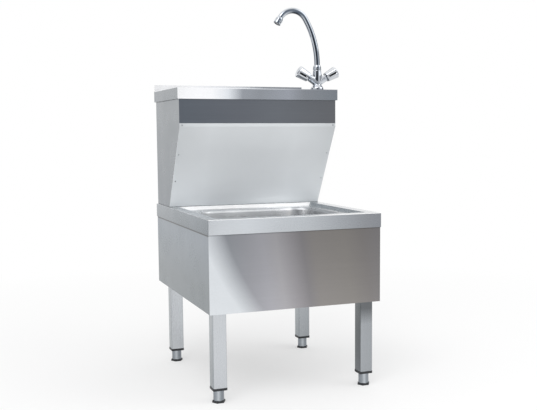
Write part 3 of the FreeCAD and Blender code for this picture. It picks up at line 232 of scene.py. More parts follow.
def frontTone(finish, settings):
    # faces that look forwards: a painted reflection tone for each place across, and painted light and shade
    # by height
    front = alongX(finish, settings["front"], settings.get("bend"))
    if "lift" in settings:
        below, above, low, high = settings["lift"]
        front = finish.shade(front, finish.between(finish.axis("Z"), below, above, low * mm, high * mm))
    # painted reflection: a bright field left of a curved edge
    if "glow" in settings:
        glow = settings["glow"]
        start, end = middleX + glow["start"] * mm, middleX + glow["end"] * mm
        drop = finish.axis("Z") - glow["foot"] * mm
        edge = finish.axis("X") + drop * glow["lean"] - drop * drop * glow["curl"]
        front = finish.mix(finish.between(edge, 1.0, 0.0, start, end), front, tone(*glow["tone"]))
    # painted reflection tones on the upstand above the brim
    if "upstand" in settings:
        front = finish.mix(finish.above(settings["brim"]), front, alongX(finish, settings["upstand"]))
    return front


def sideTone(finish, settings):
    # sideways faces: painted shade tones by height
    lower, upper, low, high = settings["side"]
    share = finish.between(finish.axis("Z"), 0.0, 1.0, low * mm, high * mm)
    side = finish.mix(share, tone(*lower), tone(*upper))
    if "crestHighlight" in settings:
        # a painted highlight along the top edge
        side = finish.mix(finish.above(settings["crestHighlightFrom"]), side, tone(*settings["crestHighlight"]))
    return side


def topTone(finish, settings):
    # upward faces: a painted tone, and painted reflection and shade tones across the deck below the rim
    top = tone(*settings["top"])
    if "deck" in settings:
        deck = alongX(finish, settings["deck"])
        top = finish.mix(finish.above(settings["rim"], settings["rimBlur"]), deck, top)
    return top


# turned, sloped and forward: how much of a face's normal points a way before that way's painted tone takes
# over;
# pull: how far the scratches stretch along the grain; scratch: their depth in metres; relief: its strength;
# streak: how much they change the tone; uneven: how much they change the roughness
sheetSet = {
    "turned": (0.5, 0.8), "sloped": (0.2, 0.5), "forward": (-0.7, -0.4), "slopeDull": 0.85,
    "fine": 1900, "wide": 210, "cloud": 5.5, "smudge": 14, "pull": 0.012, "scratch": 0.00002,
    "rough": 0.3, "uneven": 0.035, "streak": 0.025, "relief": 0.04, "metallic": 1.0,
}


def foldedSheet(name, settings):
    # satin sheet with long fine scratches, clouds from rolling, and painted reflection and shade tones for
    # each way it faces
    settings = {**sheetSet, **settings}
    finish = Finish(name)
    base = frontTone(finish, settings)
    metal = settings["metallic"]
    if "side" in settings:
        sideways = finish.add("ShaderNodeMath", {"operation": "ABSOLUTE"}, {0: finish.facing("X")})
        share = finish.between(sideways, 0.0, 1.0, *settings["turned"])
        base = finish.mix(share, base, sideTone(finish, settings))
    if "top" in settings:
        share = finish.between(finish.facing("Z"), 0.0, 1.0, *settings["turned"])
        base = finish.mix(share, base, topTone(finish, settings))
    # sloping faces: a painted bright reflection tone, with less metal
    if "slope" in settings:
        sloping = finish.between(finish.facing("Z"), 0.0, 1.0, *settings["sloped"])
        sloping = sloping * finish.between(finish.facing("Y"), 1.0, 0.0, *settings["forward"])
        base = finish.mix(sloping, base, tone(*settings["slope"]))
        metal = metal - sloping * settings["slopeDull"]
    if "lipShadow" in settings:
        # painted shadow on the sheet just under a lip
        low, high, dark = settings["lipShadow"]
        base = finish.shade(base, finish.between(finish.axis("Z"), 1.0, dark, low * mm, high * mm))
    stretch = [settings["pull"] if letter == settings["grain"] else 1 for letter in "XYZ"]
    fine = finish.noise(settings["fine"], 3, 0.6, stretch)
    wide = finish.noise(settings["wide"], 2, 0.5, stretch)
    cloud = finish.noise(settings["cloud"], 3, 0.55)
    smudge = finish.noise(settings["smudge"], 3, 0.5)
    lines = fine * 0.5 + wide * 0.5
    rough, uneven, streak = (settings[k] for k in ("rough", "uneven", "streak"))
    shade = finish.between(lines, 1 - streak, 1 + streak, 0.3, 0.7)
    shade = shade * finish.between(cloud, 0.98, 1.02, 0.3, 0.7)
    handled = finish.between(smudge, -0.01, 0.025, 0.35, 0.7)
    finish.set(
        Base_Color=finish.shade(base, shade),
        Metallic=metal,
        Roughness=finish.between(lines, rough - uneven, rough + uneven, 0.3, 0.7) + handled,
        Normal=finish.bump(lines, settings["relief"], settings["scratch"]),
    )
    return finish.material


# the room's reflection, painted into a round piece's colour on the side that faces the room: degrees from
# straight ahead, left is negative
tapRoomReflection = [
    (-120, (250, 251, 252)), (-98, (184, 188, 193)), (-60, (200, 204, 209)), (-36, (196, 201, 207)),
    (-25, (168, 174, 182)), (-15, (102, 112, 124)), (-7, (92, 102, 114)), (1, (116, 124, 134)),
    (10, (186, 191, 197)), (28, (232, 235, 238)), (60, (250, 251, 252)),
]
footRoomReflection = [
    (-120, (190, 193, 197)), (-80, (150, 154, 159)), (-45, (164, 168, 173)), (-19, (208, 211, 215)),
    (-6, (190, 194, 198)), (10, (156, 160, 165)), (45, (150, 154, 160)), (75, (190, 193, 197)),
]


def paintRoomReflection(finish, base, share, tones):
    # a painted reflection in the base colour: the room's tones around the upright, a painted white sky above
    # and painted shade below
    east, north, up = (finish.facing(letter) for letter in "XYZ")
    ahead = finish.add("ShaderNodeMath", {"operation": "ARCTAN2"}, {0: east, 1: 0 - north})
    start, end = math.radians(tones[0][0]), math.radians(tones[-1][0])
    room = finish.ramp(finish.between(ahead, 0.0, 1.0, start, end), tones)
    room = finish.mix(finish.between(up, 0.0, 1.0, 0.25, 0.75), room, white)
    room = finish.shade(room, finish.between(up, 0.3, 1.0, -0.85, -0.45))
    return finish.tint(base, room, share)


def polishedSteel(name, level, rough, room=None):
    finish = Finish(name)
    smear = finish.noise(38, 4, 0.6)
    worn = [v * 0.93 for v in level]
    base = finish.mix(finish.between(smear, 0.0, 1.0, 0.35, 0.65), tone(*level), tone(*worn))
    # where room tones are given, a painted reflection of the room goes into the base colour
    finish.set(
        Base_Color=paintRoomReflection(finish, base, 1.0, room) if room else base,
        Metallic=1.0,
        Roughness=finish.between(smear, rough - 0.04, rough + 0.06, 0.3, 0.7),
    )
    return finish.material


def chromePlate(name, room=1.0, shadedGrooves=False):
    finish = Finish(name)
    haze = finish.noise(55, 3, 0.5)
    water = finish.noise(420, 2, 0.5)
    hazy = finish.between(haze, 0.0, 1.0, 0.4, 0.7)
    bright = finish.mix(hazy, tone(233, 235, 238), tone(224, 227, 232))
    # a painted reflection of the room, at the given share
    bright = paintRoomReflection(finish, bright, room, tapRoomReflection)
    if shadedGrooves:
        # painted shade in the grooves, as deep as they are cut
        groove = finish.add("ShaderNodeAttribute", {"attribute_name": "groove"}, output="Fac")
        bright = finish.shade(bright, finish.between(groove, 1.0, 0.1, 0.12, 0.7))
    spots = finish.between(water, 0.0, 0.1, 0.62, 0.75)
    finish.set(
        Base_Color=finish.shade(bright, finish.between(water, 1.0, 0.94, 0.62, 0.75)),
        Metallic=1.0,
        Roughness=finish.between(haze, 0.03, 0.07, 0.35, 0.7) + spots,
    )
    return finish.material


def mouldedPlastic(name, level, rough=0.45, grainSize=700):
    finish = Finish(name)
    grainNoise = finish.noise(grainSize, 2, 0.5)
    wear = finish.noise(40, 3, 0.6)
    light = [min(255, v * 1.12 + 4) for v in level]
    finish.set(
        Base_Color=finish.mix(finish.between(wear, 0.0, 1.0, 0.4, 0.75), tone(*level), tone(*light)),
        Roughness=finish.between(wear, rough - 0.06, rough + 0.1, 0.3, 0.7),
        Normal=finish.bump(grainNoise, 0.25, 0.00008),
    )
    return finish.material


def turnedBrass(name):
    finish = Finish(name)
    smear = finish.noise(60, 3, 0.6)
    dull = finish.between(smear, 0.0, 1.0, 0.3, 0.7)
    finish.set(
        Base_Color=finish.mix(dull, tone(206, 176, 118), tone(184, 152, 96)),
        Metallic=1.0,
        Roughness=finish.between(smear, 0.2, 0.38, 0.3, 0.7),
    )
    return finish.material


# painted reflection and shade tones in 0 to 255; front, upstand and deck from left to right in mm from the
# middle plane;
# heights in mm; side: painted shade tones below and above two heights; lift: painted light and shade factors
# below and above two heights; bend: how the front's tones slant, and the height they turn about; rim, brim,
# crestHighlightFrom: where tones begin; crest: a painted highlight; slope: a painted bright reflection; glow:
# a painted reflection, a bright field left of a curved edge; seam: heights between which a painted shadow
# darkens a sheet under a lip
sheets = {
    "sinkTop": {
        "front": [
            (-250, (210, 214, 218)), (-150, (207, 211, 215)), (-60, (193, 197, 201)), (30, (184, 188, 192)),
            (120, (163, 167, 172)), (200, (145, 148, 153)), (250, (138, 141, 147)),
        ],
        # painted reflection and shade tones across the deck
        "deck": [
            (-200, (236, 238, 240)), (-160, (196, 199, 203)), (-115, (142, 145, 150)), (-50, (140, 143, 147)),
            (0, (176, 179, 183)), (60, (245, 246, 247)), (130, (245, 246, 247)), (200, (214, 216, 218)),
        ],
        "side": ((122, 129, 135), (140, 147, 153), 450, 500), "top": (218, 220, 222),
        "rim": 487.25, "rimBlur": 0.75, "slope": (255, 255, 255), "grain": "X", "rough": 0.26,
    },
    "upperTop": {
        "front": [
            (-250, (253, 253, 254)), (-150, (250, 250, 251)), (-100, (224, 228, 232)), (-55, (150, 154, 160)),
            (0, (141, 145, 151)), (90, (151, 155, 163)), (140, (134, 138, 144)), (250, (120, 126, 133)),
        ],
        "upstand": [
            (-250, (254, 254, 255)), (-130, (251, 251, 252)), (-30, (234, 236, 239)), (65, (204, 207, 211)),
            (120, (166, 170, 175)), (190, (147, 150, 156)), (250, (131, 135, 142)),
        ],
        "side": ((139, 144, 149), (144, 149, 153), 818, 850), "top": (180, 184, 188), "brim": 848.0,
        "crestHighlight": (250, 250, 250), "crestHighlightFrom": 851.5, "grain": "X", "rough": 0.26,
    },
    "frontPanel": {
        "front": [
            (-250, (146, 150, 156)), (-180, (140, 143, 148)), (-140, (146, 147, 152)), (-90, (155, 155, 160)),
            (-50, (156, 155, 158)), (-12, (141, 139, 142)), (24, (124, 122, 124)), (56, (129, 126, 124)),
            (150, (128, 125, 122)), (205, (121, 118, 117)), (250, (120, 118, 119)),
        ],
        "glow": {
            "foot": 255, "lean": 0.685, "curl": 0.9, "start": -168, "end": -101, "tone": (219, 223, 227),
        },
        "lift": (1.27, 0.95, 250, 446), "bend": (0.15, 350), "lipShadow": (452.5, 455.5, 0.5),
        "grain": "X", "rough": 0.22, "streak": 0.02,
    },
    "sidePanel": {
        "front": [(-250, (190, 194, 198)), (250, (190, 194, 198))],
        "side": ((122, 129, 133), (137, 145, 153), 300, 430), "lipShadow": (450.8, 452.3, 0.12),
        "top": (200, 203, 206), "grain": "Y", "rough": 0.26,
        "streak": 0.004, "relief": 0.003, "uneven": 0.004,
    },
    "upperSide": {
        "front": [(-250, (215, 218, 220)), (250, (190, 194, 198))],
        "side": ((128, 134, 140), (143, 148, 152), 520, 800),
        "top": (200, 203, 206), "grain": "Y", "rough": 0.28,
        "streak": 0.004, "relief": 0.003, "uneven": 0.004,
    },
    "rearPanel": {
        "front": [(-250, (186, 190, 193)), (250, (180, 184, 188))],
        "grain": "X", "streak": 0.03,
    },
    "band": {
        "front": [
            (-250, (100, 106, 114)), (-60, (103, 107, 114)), (60, (106, 110, 116)), (250, (100, 102, 106)),
        ],
        "grain": "X", "rough": 0.34, "streak": 0.06, "relief": 0.08,
    },
    # painted light lower down and painted shade near the top
    "cover": {
        "front": [
            (-250, (204, 208, 211)), (-150, (222, 226, 229)), (120, (224, 228, 231)), (250, (200, 204, 207)),
        ],
        "lift": (1.13, 0.76, 540, 740),
        "grain": "X", "rough": 0.55, "streak": 0.006, "metallic": 0.1, "relief": 0.02,
    },
    "leg": {
        "front": [
            (-240, (202, 205, 209)), (-190, (197, 201, 205)), (190, (172, 176, 180)), (240, (160, 164, 168)),
        ],
        "side": ((154, 160, 164), (165, 170, 174), 60, 220),
        "grain": "Z", "rough": 0.26, "streak": 0.035, "relief": 0.08,
    },
    # the front right leg: painted shade towards its top and on its sides
    "legShaded": {
        "front": [(-240, (172, 176, 180)), (190, (164, 168, 172)), (240, (158, 162, 166))],
        "lift": (1.0, 0.42, 178, 224),
        "side": ((116, 120, 124), (104, 108, 110), 60, 160),
        "grain": "Z", "rough": 0.24, "streak": 0.04, "relief": 0.08,
    },
    "rail": {
        "front": [(-250, (150, 153, 156)), (250, (150, 153, 156))],
        "grain": "Y", "rough": 0.36,
    },
    # painted highlights across the far wall, and painted shade lower down
    "sinkBowl": {
        "front": [
            (-190, (205, 207, 209)), (-136, (214, 216, 218)), (-98, (206, 208, 210)), (-60, (222, 224, 226)),
            (-8, (208, 210, 212)), (51, (206, 208, 211)), (85, (220, 222, 224)), (108, (240, 241, 243)),
            (124, (255, 255, 255)), (135, (205, 207, 210)), (150, (188, 190, 193)), (165, (236, 237, 239)),
            (176, (178, 180, 183)), (195, (160, 162, 165)),
        ],
        "lift": (0.72, 1.05, 400, 482),
        "grain": "X", "rough": 0.28, "streak": 0.03, "metallic": 0.6,
    },
    "bowl": {
        "front": [(-250, (192, 194, 195)), (250, (186, 188, 190))],
        "grain": "X", "rough": 0.2, "streak": 0.04,
    },
}
finishes = {word: foldedSheet(word + "Steel", settings) for word, settings in sheets.items()}
finishes.update({
    "foot": polishedSteel("footSteel", (246, 249, 251), 0.2, footRoomReflection),
    "screw": polishedSteel("screwSteel", (176, 179, 183), 0.25),
    "strainer": polishedSteel("strainerSteel", (216, 218, 220), 0.14),
    "chrome": chromePlate("tapChrome"),
    "castChrome": chromePlate("castChrome", 0.7),
    "gripChrome": chromePlate("gripChrome", 0.4, shadedGrooves=True),
    "blackNylon": mouldedPlastic("blackNylon", (27, 29, 33)),
    "blackRubber": mouldedPlastic("blackRubber", (30, 30, 31), 0.6, 400),
    "darkBead": mouldedPlastic("greyBead", (104, 108, 112), 0.4, 300),
    "whitePipe": mouldedPlastic("whitePipe", (222, 222, 218), 0.38),
    "greyJet": mouldedPlastic("greyJet", (150, 152, 154), 0.5),
    "brass": turnedBrass("spindleBrass"),
})
print("finishes made:", len(finishes))


# the CAD nodes that show as they are: a modifier merges and smooths them, and each gets its finish
smoothSet = {"merge": 0.000002, "sharpFrom": 32}


def makeSmoothing(settings):
    group = bpy.data.node_groups.new("smoothing", "GeometryNodeTree")
    for direction in ("INPUT", "OUTPUT"):
        group.interface.new_socket("Geometry", in_out=direction, socket_type="NodeSocketGeometry")
    tree = Tree(group)
    shape = tree.add("NodeGroupInput")
    shape = tree.add("GeometryNodeMergeByDistance", None, {"Geometry": shape, "Distance": settings["merge"]})
    shape = tree.add("GeometryNodeSetShadeSmooth", {"domain": "FACE"}, {"Geometry": shape})
    angle = tree.add("GeometryNodeInputMeshEdgeAngle", output="Unsigned Angle")
    sharp = tree.add(
        "FunctionNodeCompare", {"data_type": "FLOAT", "operation": "GREATER_THAN"},
        {0: angle, 1: math.radians(settings["sharpFrom"])},
    )
    shape = tree.add(
        "GeometryNodeSetShadeSmooth", {"domain": "EDGE"},
        {"Geometry": shape, "Selection": sharp, "Shade Smooth": False},
    )
    tree.add("NodeGroupOutput", None, {0: shape})
    return group


smoothing = makeSmoothing(smoothSet)
nodeFinish = {
    "sink_top": "sinkTop", "upper_top": "upperTop", "sink_bowl": "sinkBowl", "hand_bowl": "bowl",
    "apron_front": "frontPanel", "apron_rear": "rearPanel", "upper_back": "rearPanel",
    "apron_left": "sidePanel", "apron_right": "sidePanel",
    "upper_side_left": "upperSide", "upper_side_right": "upperSide",
    "front_band": "band", "access_panel": "cover",
    "rail_left": "rail", "rail_right": "rail",
    "leg_bolts": "screw", "panel_screws": "screw", "lip_screws": "screw",
    "tap_washer": "screw", "tap_stud": "screw", "tap_nut": "screw",
    "sink_strainer": "strainer", "hand_strainer": "strainer",
    "sink_waste_gasket": "blackRubber", "hand_waste_gasket": "blackRubber", "tap_gasket": "blackRubber",
    "sink_waste_tee": "whitePipe", "hand_waste_body": "whitePipe", "waste_pipe": "whitePipe",
    "waste_nuts": "whitePipe",
    "tap_body": "chrome", "spout_collar": "chrome", "spout": "chrome", "aerator_housing": "chrome",
    "aerator_insert": "greyJet",
}
for corner in ("front_left", "front_right", "rear_left", "rear_right"):
    nodeFinish["leg_" + corner] = "legShaded" if corner == "front_right" else "leg"
    nodeFinish["leg_insert_" + corner] = "blackNylon"
    nodeFinish["foot_stem_" + corner] = "foot"
    nodeFinish["foot_base_" + corner] = "blackNylon"
for side in ("left", "right"):
    nodeFinish["handle_" + side] = "chrome"
    nodeFinish["handle_cap_" + side] = "chrome"
    nodeFinish["headwork_" + side] = "chrome"
    nodeFinish["spindle_" + side] = "brass"

for nodeName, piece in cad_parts.items():
    piece.data.materials.clear()
    piece.data.materials.append(finishes[nodeFinish[nodeName]])
    modifier = piece.modifiers.new("smoothing", "NODES")
    modifier.node_group = smoothing
print("CAD nodes finished")


def keep(name, shape, finish, body, *replaced):
    # a finished bmesh becomes a smooth-shaded piece that rides on a body
    mesh = bpy.data.meshes.new(name)
    shape.to_mesh(mesh)
    shape.free()
    piece = bpy.data.objects.new(name, mesh)
    bpy.context.scene.collection.objects.link(piece)
    mesh.shade_smooth()
    mesh.materials.append(finishes[finish])
    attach(piece, body)
    if replaced:
        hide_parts(*replaced)
    return piece


def cornersOf(parts):
    # the vertices of faces or edges, each once and in the same order every time
    return list(dict.fromkeys(vert for part in parts for vert in part.verts))


def turned(shape, profile, place, tilt=0.0, steps=96):
    # a closed solid of revolution: radius and height pairs in mm, spun about an axis tilted in the XZ plane
    verts = [shape.verts.new((r * mm, 0, z * mm)) for r, z in profile]
    edges = [shape.edges.new(pair) for pair in zip(verts, verts[1:])]
    bmesh.ops.spin(
        shape, geom=verts + edges, cent=(0, 0, 0), axis=(0, 0, 1), dvec=(0, 0, 0),
        angle=math.tau, steps=steps, use_merge=True, use_duplicate=False,
    )
    made = cornersOf(face for face in shape.faces if not face.tag)
    bmesh.ops.remove_doubles(shape, verts=made, dist=mm / 1000)
    fresh = [face for face in shape.faces if not face.tag]
    bmesh.ops.recalc_face_normals(shape, faces=fresh)
    moved = cornersOf(fresh)
    leaning = Matrix.Rotation(math.radians(tilt), 3, "Y")
    bmesh.ops.rotate(shape, verts=moved, cent=(0, 0, 0), matrix=leaning)
    bmesh.ops.translate(shape, verts=moved, vec=[v * mm for v in place])
    for face in fresh:
        face.tag = True
    return moved


def rounded(profile, radius, steps=4):
    # the same profile with its inner corners eased by short arcs
    eased = [profile[0]]
    for before, corner, after in zip(profile, profile[1:], profile[2:]):
        a, b, c = Vector(before), Vector(corner), Vector(after)
        reach = min(radius, (a - b).length * 0.45, (c - b).length * 0.45)
        start, end = b + (a - b).normalized() * reach, b + (c - b).normalized() * reach
        for i in range(steps + 1):
            t = i / steps
            eased.append(tuple(start * (1 - t) ** 2 + b * 2 * t * (1 - t) + end * t ** 2))
    return eased + [profile[-1]]


def applied(piece, *modifiers):
    # modifiers given as type and settings, worked into the mesh
    for kind, settings in modifiers:
        modifier = piece.modifiers.new(kind.lower(), kind)
        for key, value in settings.items():
            setattr(modifier, key, value)
    seen = piece.evaluated_get(bpy.context.evaluated_depsgraph_get())
    mesh = bpy.data.meshes.new_from_object(seen)
    piece.modifiers.clear()
    old, piece.data = piece.data, mesh
    bpy.data.meshes.remove(old)
    mesh.shade_smooth()


# sizes in mm, profiles as radius and height; ease: how far a profile's corners are rounded
tapSet = {
    "x": middleX / mm + 206, "y": 50.0, "deck": 850.0,
    "foot": [
        (0, 1.5), (20.8, 1.5), (20.8, 4.5), (19.6, 9.0), (15.5, 13.5), (12.6, 17.5), (12.6, 21), (14.4, 27),
        (15.2, 36), (14.6, 46), (13.2, 56), (12.9, 62), (0, 62),
    ],
    "footEase": 2.5, "armEase": 1.2, "collarEase": 0.5,
    "arm": [(0, 0), (13.6, 0), (12.4, 12), (11.2, 22), (10.8, 28.5), (10.2, 31), (0, 31)],
    "armHeight": 24.0, "armTilt": 28.0, "voxel": 0.55, "smooth": 14,
    "collar": [
        (12.2, 62.2), (13.6, 62.2), (13.6, 64.4), (13.0, 65.0), (13.0, 69.5), (11.9, 73.2), (10.9, 76.2),
        (9.5, 77), (8.4, 77), (12.2, 62.2),
    ],
}


def makeTapBody(settings):
    shape = bmesh.new()
    x, y, z = settings["x"], settings["y"], settings["deck"]
    turned(shape, rounded(settings["foot"], settings["footEase"]), (x, y, z))
    for tilt in (90 - settings["armTilt"], settings["armTilt"] - 90):
        arm = rounded(settings["arm"], settings["armEase"])
        turned(shape, arm, (x, y, z + settings["armHeight"]), tilt, steps=64)
    casting = keep("tapCasting", shape, "castChrome", "cabinet", "tap_body")
    applied(
        casting,
        ("REMESH", {"mode": "VOXEL", "voxel_size": settings["voxel"] * mm}),
        ("SMOOTH", {"factor": 0.5, "iterations": settings["smooth"]}),
    )
    casting.data.materials.clear()
    casting.data.materials.append(finishes["castChrome"])
    shape = bmesh.new()
    turned(shape, rounded(settings["collar"], settings["collarEase"]), (x, y, z))
    keep("tapCollar", shape, "chrome", "cabinet", "spout_collar")


makeTapBody(tapSet)
print("tap body made")

# the socket's heights are above the grip's start, the crown's depths below its end
handleSet = {
    "start": 34.5, "end": 71.5, "inner": 15.6, "outer": 18.9, "rim": 3.2, "rings": 34, "steps": 144,
    "socket": [(0, 9), (12.0, 9), (12.0, 0.6), (12.6, 0), (14.6, 0), (15.3, 0.4)], "wallFrom": 1.2,
    "crown": [(10.5, 0), (9.2, 0.8), (8.2, 0.9), (0, 0.9)],
    "grooves": 4, "depth": 5.6, "width": 4.0, "core": 14.0, "sharpness": 1.3,
    "brink": 1.0, "fade": 7.5, "ease": 0.6, "turn": {"left": -22, "right": 0},
}


def carveGrooves(shape, settings, turn):
    # grooves along the grip that run out before the rim; how deep they go is kept for the painted shade in
    # the grooves
    shade = shape.verts.layers.float.new("groove")
    sector = math.tau / settings["grooves"]
    for vert in shape.verts:
        radius, height = math.hypot(vert.co.x, vert.co.y) / mm, vert.co.z / mm
        if radius < settings["core"]:
            continue
        angle = math.atan2(vert.co.y, vert.co.x)
        off = (angle - math.radians(turn) + sector / 2) % sector - sector / 2
        across = off * radius / settings["width"]
        runOut = (settings["end"] - settings["brink"] - height) / settings["fade"]
        share = math.exp(-across * across * settings["sharpness"])
        share *= min(1.0, max(0.0, runOut)) ** settings["ease"]
        vert.co.x -= math.cos(angle) * settings["depth"] * share * mm
        vert.co.y -= math.sin(angle) * settings["depth"] * share * mm
        vert[shade] = share


def makeHandle(side, settings, tap):
    # a flaring grip with a rounded outer rim
    start, end, inner, outer, rim = (settings[k] for k in ("start", "end", "inner", "outer", "rim"))
    foot, rings = start + settings["wallFrom"], settings["rings"]
    profile = [(radius, start + height) for radius, height in settings["socket"]]
    for i in range(rings + 1):
        t = i / rings
        profile.append((inner + (outer - inner) * t, foot + (end - rim - foot) * t))
    for turn in range(10, 81, 10):
        a = math.radians(turn)
        profile.append((outer - rim * (1 - math.cos(a)), end - rim * (1 - math.sin(a))))
    profile.append((outer - rim, end))
    profile += [(radius, end - depth) for radius, depth in settings["crown"]]
    shape = bmesh.new()
    turned(shape, profile, (0, 0, 0), steps=settings["steps"])
    carveGrooves(shape, settings, settings["turn"][side])
    lean = (90 - tap["armTilt"]) * (1 if side == "right" else -1)
    tilt = Matrix.Rotation(math.radians(lean), 3, "Y")
    bmesh.ops.rotate(shape, verts=shape.verts, cent=(0, 0, 0), matrix=tilt)
    place = Vector((tap["x"], tap["y"], tap["deck"] + tap["armHeight"])) * mm
    bmesh.ops.translate(shape, verts=shape.verts, vec=place)
    keep("tapGrip." + side, shape, "gripChrome", "tap_handle_" + side, "handle_" + side)


for side in ("left", "right"):
    makeHandle(side, handleSet, tapSet)
print("tap handles made")

spoutSet = {
    "radius": 9.0, "seat": 66.0, "low": 66.2, "straight": 12.0, "tail": 3.0, "sides": 48, "ease": 0.35,
    "rise": {"radius": 262.0, "turn": 32.0, "steps": 44},
    "bend": {"radius": 47.0, "turn": 116.0, "steps": 64},
    "nozzle": [
        (8.6, -1.5), (9.6, -1.5), (10.2, 0.2), (11.1, 2.6), (11.5, 4.2), (11.5, 8.3), (11.15, 8.7),
        (11.15, 9.4), (11.5, 9.8), (11.5, 19.2), (10.9, 20.0), (10.0, 20.0), (9.8, 18.4), (9.8, 5),
        (8.6, 3.5),
    ],
}


def pull(shape, edges, way):
    # the edges drawn out into a wall; gives its new edges
    made = bmesh.ops.extrude_edge_only(shape, edges=edges)["geom"]
    bmesh.ops.translate(shape, verts=[g for g in made if isinstance(g, bmesh.types.BMVert)], vec=way)
    return [g for g in made if isinstance(g, bmesh.types.BMEdge)]


def makeSpout(settings, tap):
    # a tube: a straight foot, a wide rise, a tight bend and a short tail with the nozzle
    start = Vector((tap["x"], tap["y"], tap["deck"] + settings["low"])) * mm
    bent = Vector((tap["x"], tap["y"], tap["deck"] + settings["seat"] + settings["straight"])) * mm
    shape = bmesh.new()
    bmesh.ops.create_circle(
        shape, cap_ends=False, segments=settings["sides"], radius=settings["radius"] * mm,
        matrix=Matrix.Translation(start),
    )
    edges = list(shape.edges)
    bmesh.ops.contextual_create(shape, geom=edges)
    edges = pull(shape, edges, bent - start)
    rise, bend = settings["rise"], settings["bend"]
    centre = bent - Vector((rise["radius"], 0, 0)) * mm
    turn = math.radians(rise["turn"])
    inward = Vector((math.cos(turn), 0, math.sin(turn))) * (rise["radius"] - bend["radius"]) * mm
    for arc, middle in ((rise, centre), (bend, centre + inward)):
        spun = bmesh.ops.spin(
            shape, geom=edges, cent=middle, axis=(0, -1, 0), dvec=(0, 0, 0), angle=math.radians(arc["turn"]),
            steps=arc["steps"], use_merge=False, use_duplicate=False,
        )["geom_last"]
        edges = [g for g in spun if isinstance(g, bmesh.types.BMEdge)]
    last = math.radians(rise["turn"] + bend["turn"])
    ahead = Vector((-math.sin(last), 0, math.cos(last)))
    edges = pull(shape, edges, ahead * settings["tail"] * mm)
    bmesh.ops.contextual_create(shape, geom=edges)
    tip = cornersOf(edges)
    end = sum((vert.co for vert in tip), Vector()) / len(tip)
    bmesh.ops.recalc_face_normals(shape, faces=shape.faces)
    keep("tapSpout", shape, "chrome", "spout", "spout")
    shape = bmesh.new()
    nozzle = rounded(settings["nozzle"], settings["ease"], 3)
    turned(shape, nozzle + [nozzle[0]], (0, 0, 0))
    turnTo = Vector((0, 0, 1)).rotation_difference(ahead).to_matrix()
    bmesh.ops.rotate(shape, verts=shape.verts, cent=(0, 0, 0), matrix=turnTo)
    bmesh.ops.translate(shape, verts=shape.verts, vec=end)
    keep("tapNozzle", shape, "chrome", "spout", "aerator_housing")
    print("spout ends at", [round(v / mm, 2) for v in end])


makeSpout(spoutSet, tapSet)
print("spout made")


# panel: for each screw its y and z, and how far its sheet leans in degrees
screwSet = {
    "head": 3.6, "rise": 1.6, "rings": 14, "steps": 48,
    "shank": [(3.6, -0.02), (3.1, -0.12), (1.7, -0.15), (1.7, -1.2), (0, -1.2)],
    "cross": 2.1, "slot": 0.42, "depth": 0.9, "crossFrom": 0.1, "ease": 0.4, "twist": 37,
    "panel": [(2.7, 742.5, 0.0), (49.805, 657.71, 30.5), (97.14, 577.38, 30.5)],
    "panelX": 237.0, "lipX": 246.6, "lipZ": 825.0, "lipY": (35.0, 287.0),
}


def pressCross(verts, settings):
    for vert in verts:
        x, y, z = (v / mm for v in vert.co)
        near, far = sorted((abs(x), abs(y)))
        if z > settings["crossFrom"] and near < settings["slot"] and far < settings["cross"]:
            vert.co.z -= settings["depth"] * mm * (1 - far / settings["cross"]) ** settings["ease"]


def makeScrews(settings):
    # each head is a shallow dome whose cross is pressed in; the shank stays in the sheet
    head, rise, rings = settings["head"], settings["rise"], settings["rings"]
    ball = (head * head + rise * rise) / (2 * rise)
    steps = [head * i / rings for i in range(rings + 1)]
    profile = [(r, rise - ball + math.sqrt(ball * ball - r * r)) for r in steps] + settings["shank"]
    middle = middleX / mm
    panel = [
        (Vector((middle + sign * settings["panelX"], y, z)), (90 + lean, 0))
        for sign in (-1, 1) for y, z, lean in settings["panel"]
    ]
    lips = [
        (Vector((middle + sign * settings["lipX"], y, settings["lipZ"])), (90, sign * 90))
        for sign in (-1, 1) for y in settings["lipY"]
    ]
    for name, seats, node in (("panelScrews", panel, "panel_screws"), ("lipScrews", lips, "lip_screws")):
        shape = bmesh.new()
        for count, (seat, (tip, turn)) in enumerate(seats):
            fresh = turned(shape, profile, (0, 0, 0), steps=settings["steps"])
            pressCross(fresh, settings)
            spin = Matrix.Rotation(math.radians(count * settings["twist"]), 3, "Z")
            out = Matrix.Rotation(math.radians(turn), 3, "Z") @ Matrix.Rotation(math.radians(tip), 3, "X")
            bmesh.ops.rotate(shape, verts=fresh, cent=(0, 0, 0), matrix=out @ spin)
            bmesh.ops.translate(shape, verts=fresh, vec=seat * mm)
        keep(name, shape, "screw", "cabinet", node)


makeScrews(screwSet)
print("screws made")

# waves: how fast each wave of the bead's thickness runs from step to step, and where it starts
footBeadSet = {
    "x": 245.0, "front": 141.2, "rear": 292.0, "height": 496.0, "clear": 0.05, "radius": 1.1,
    "uneven": 0.45, "waves": [(0.83, 0), (0.37, 1.3), (1.91, 0.4)], "step": 2.0, "sides": 10,
}


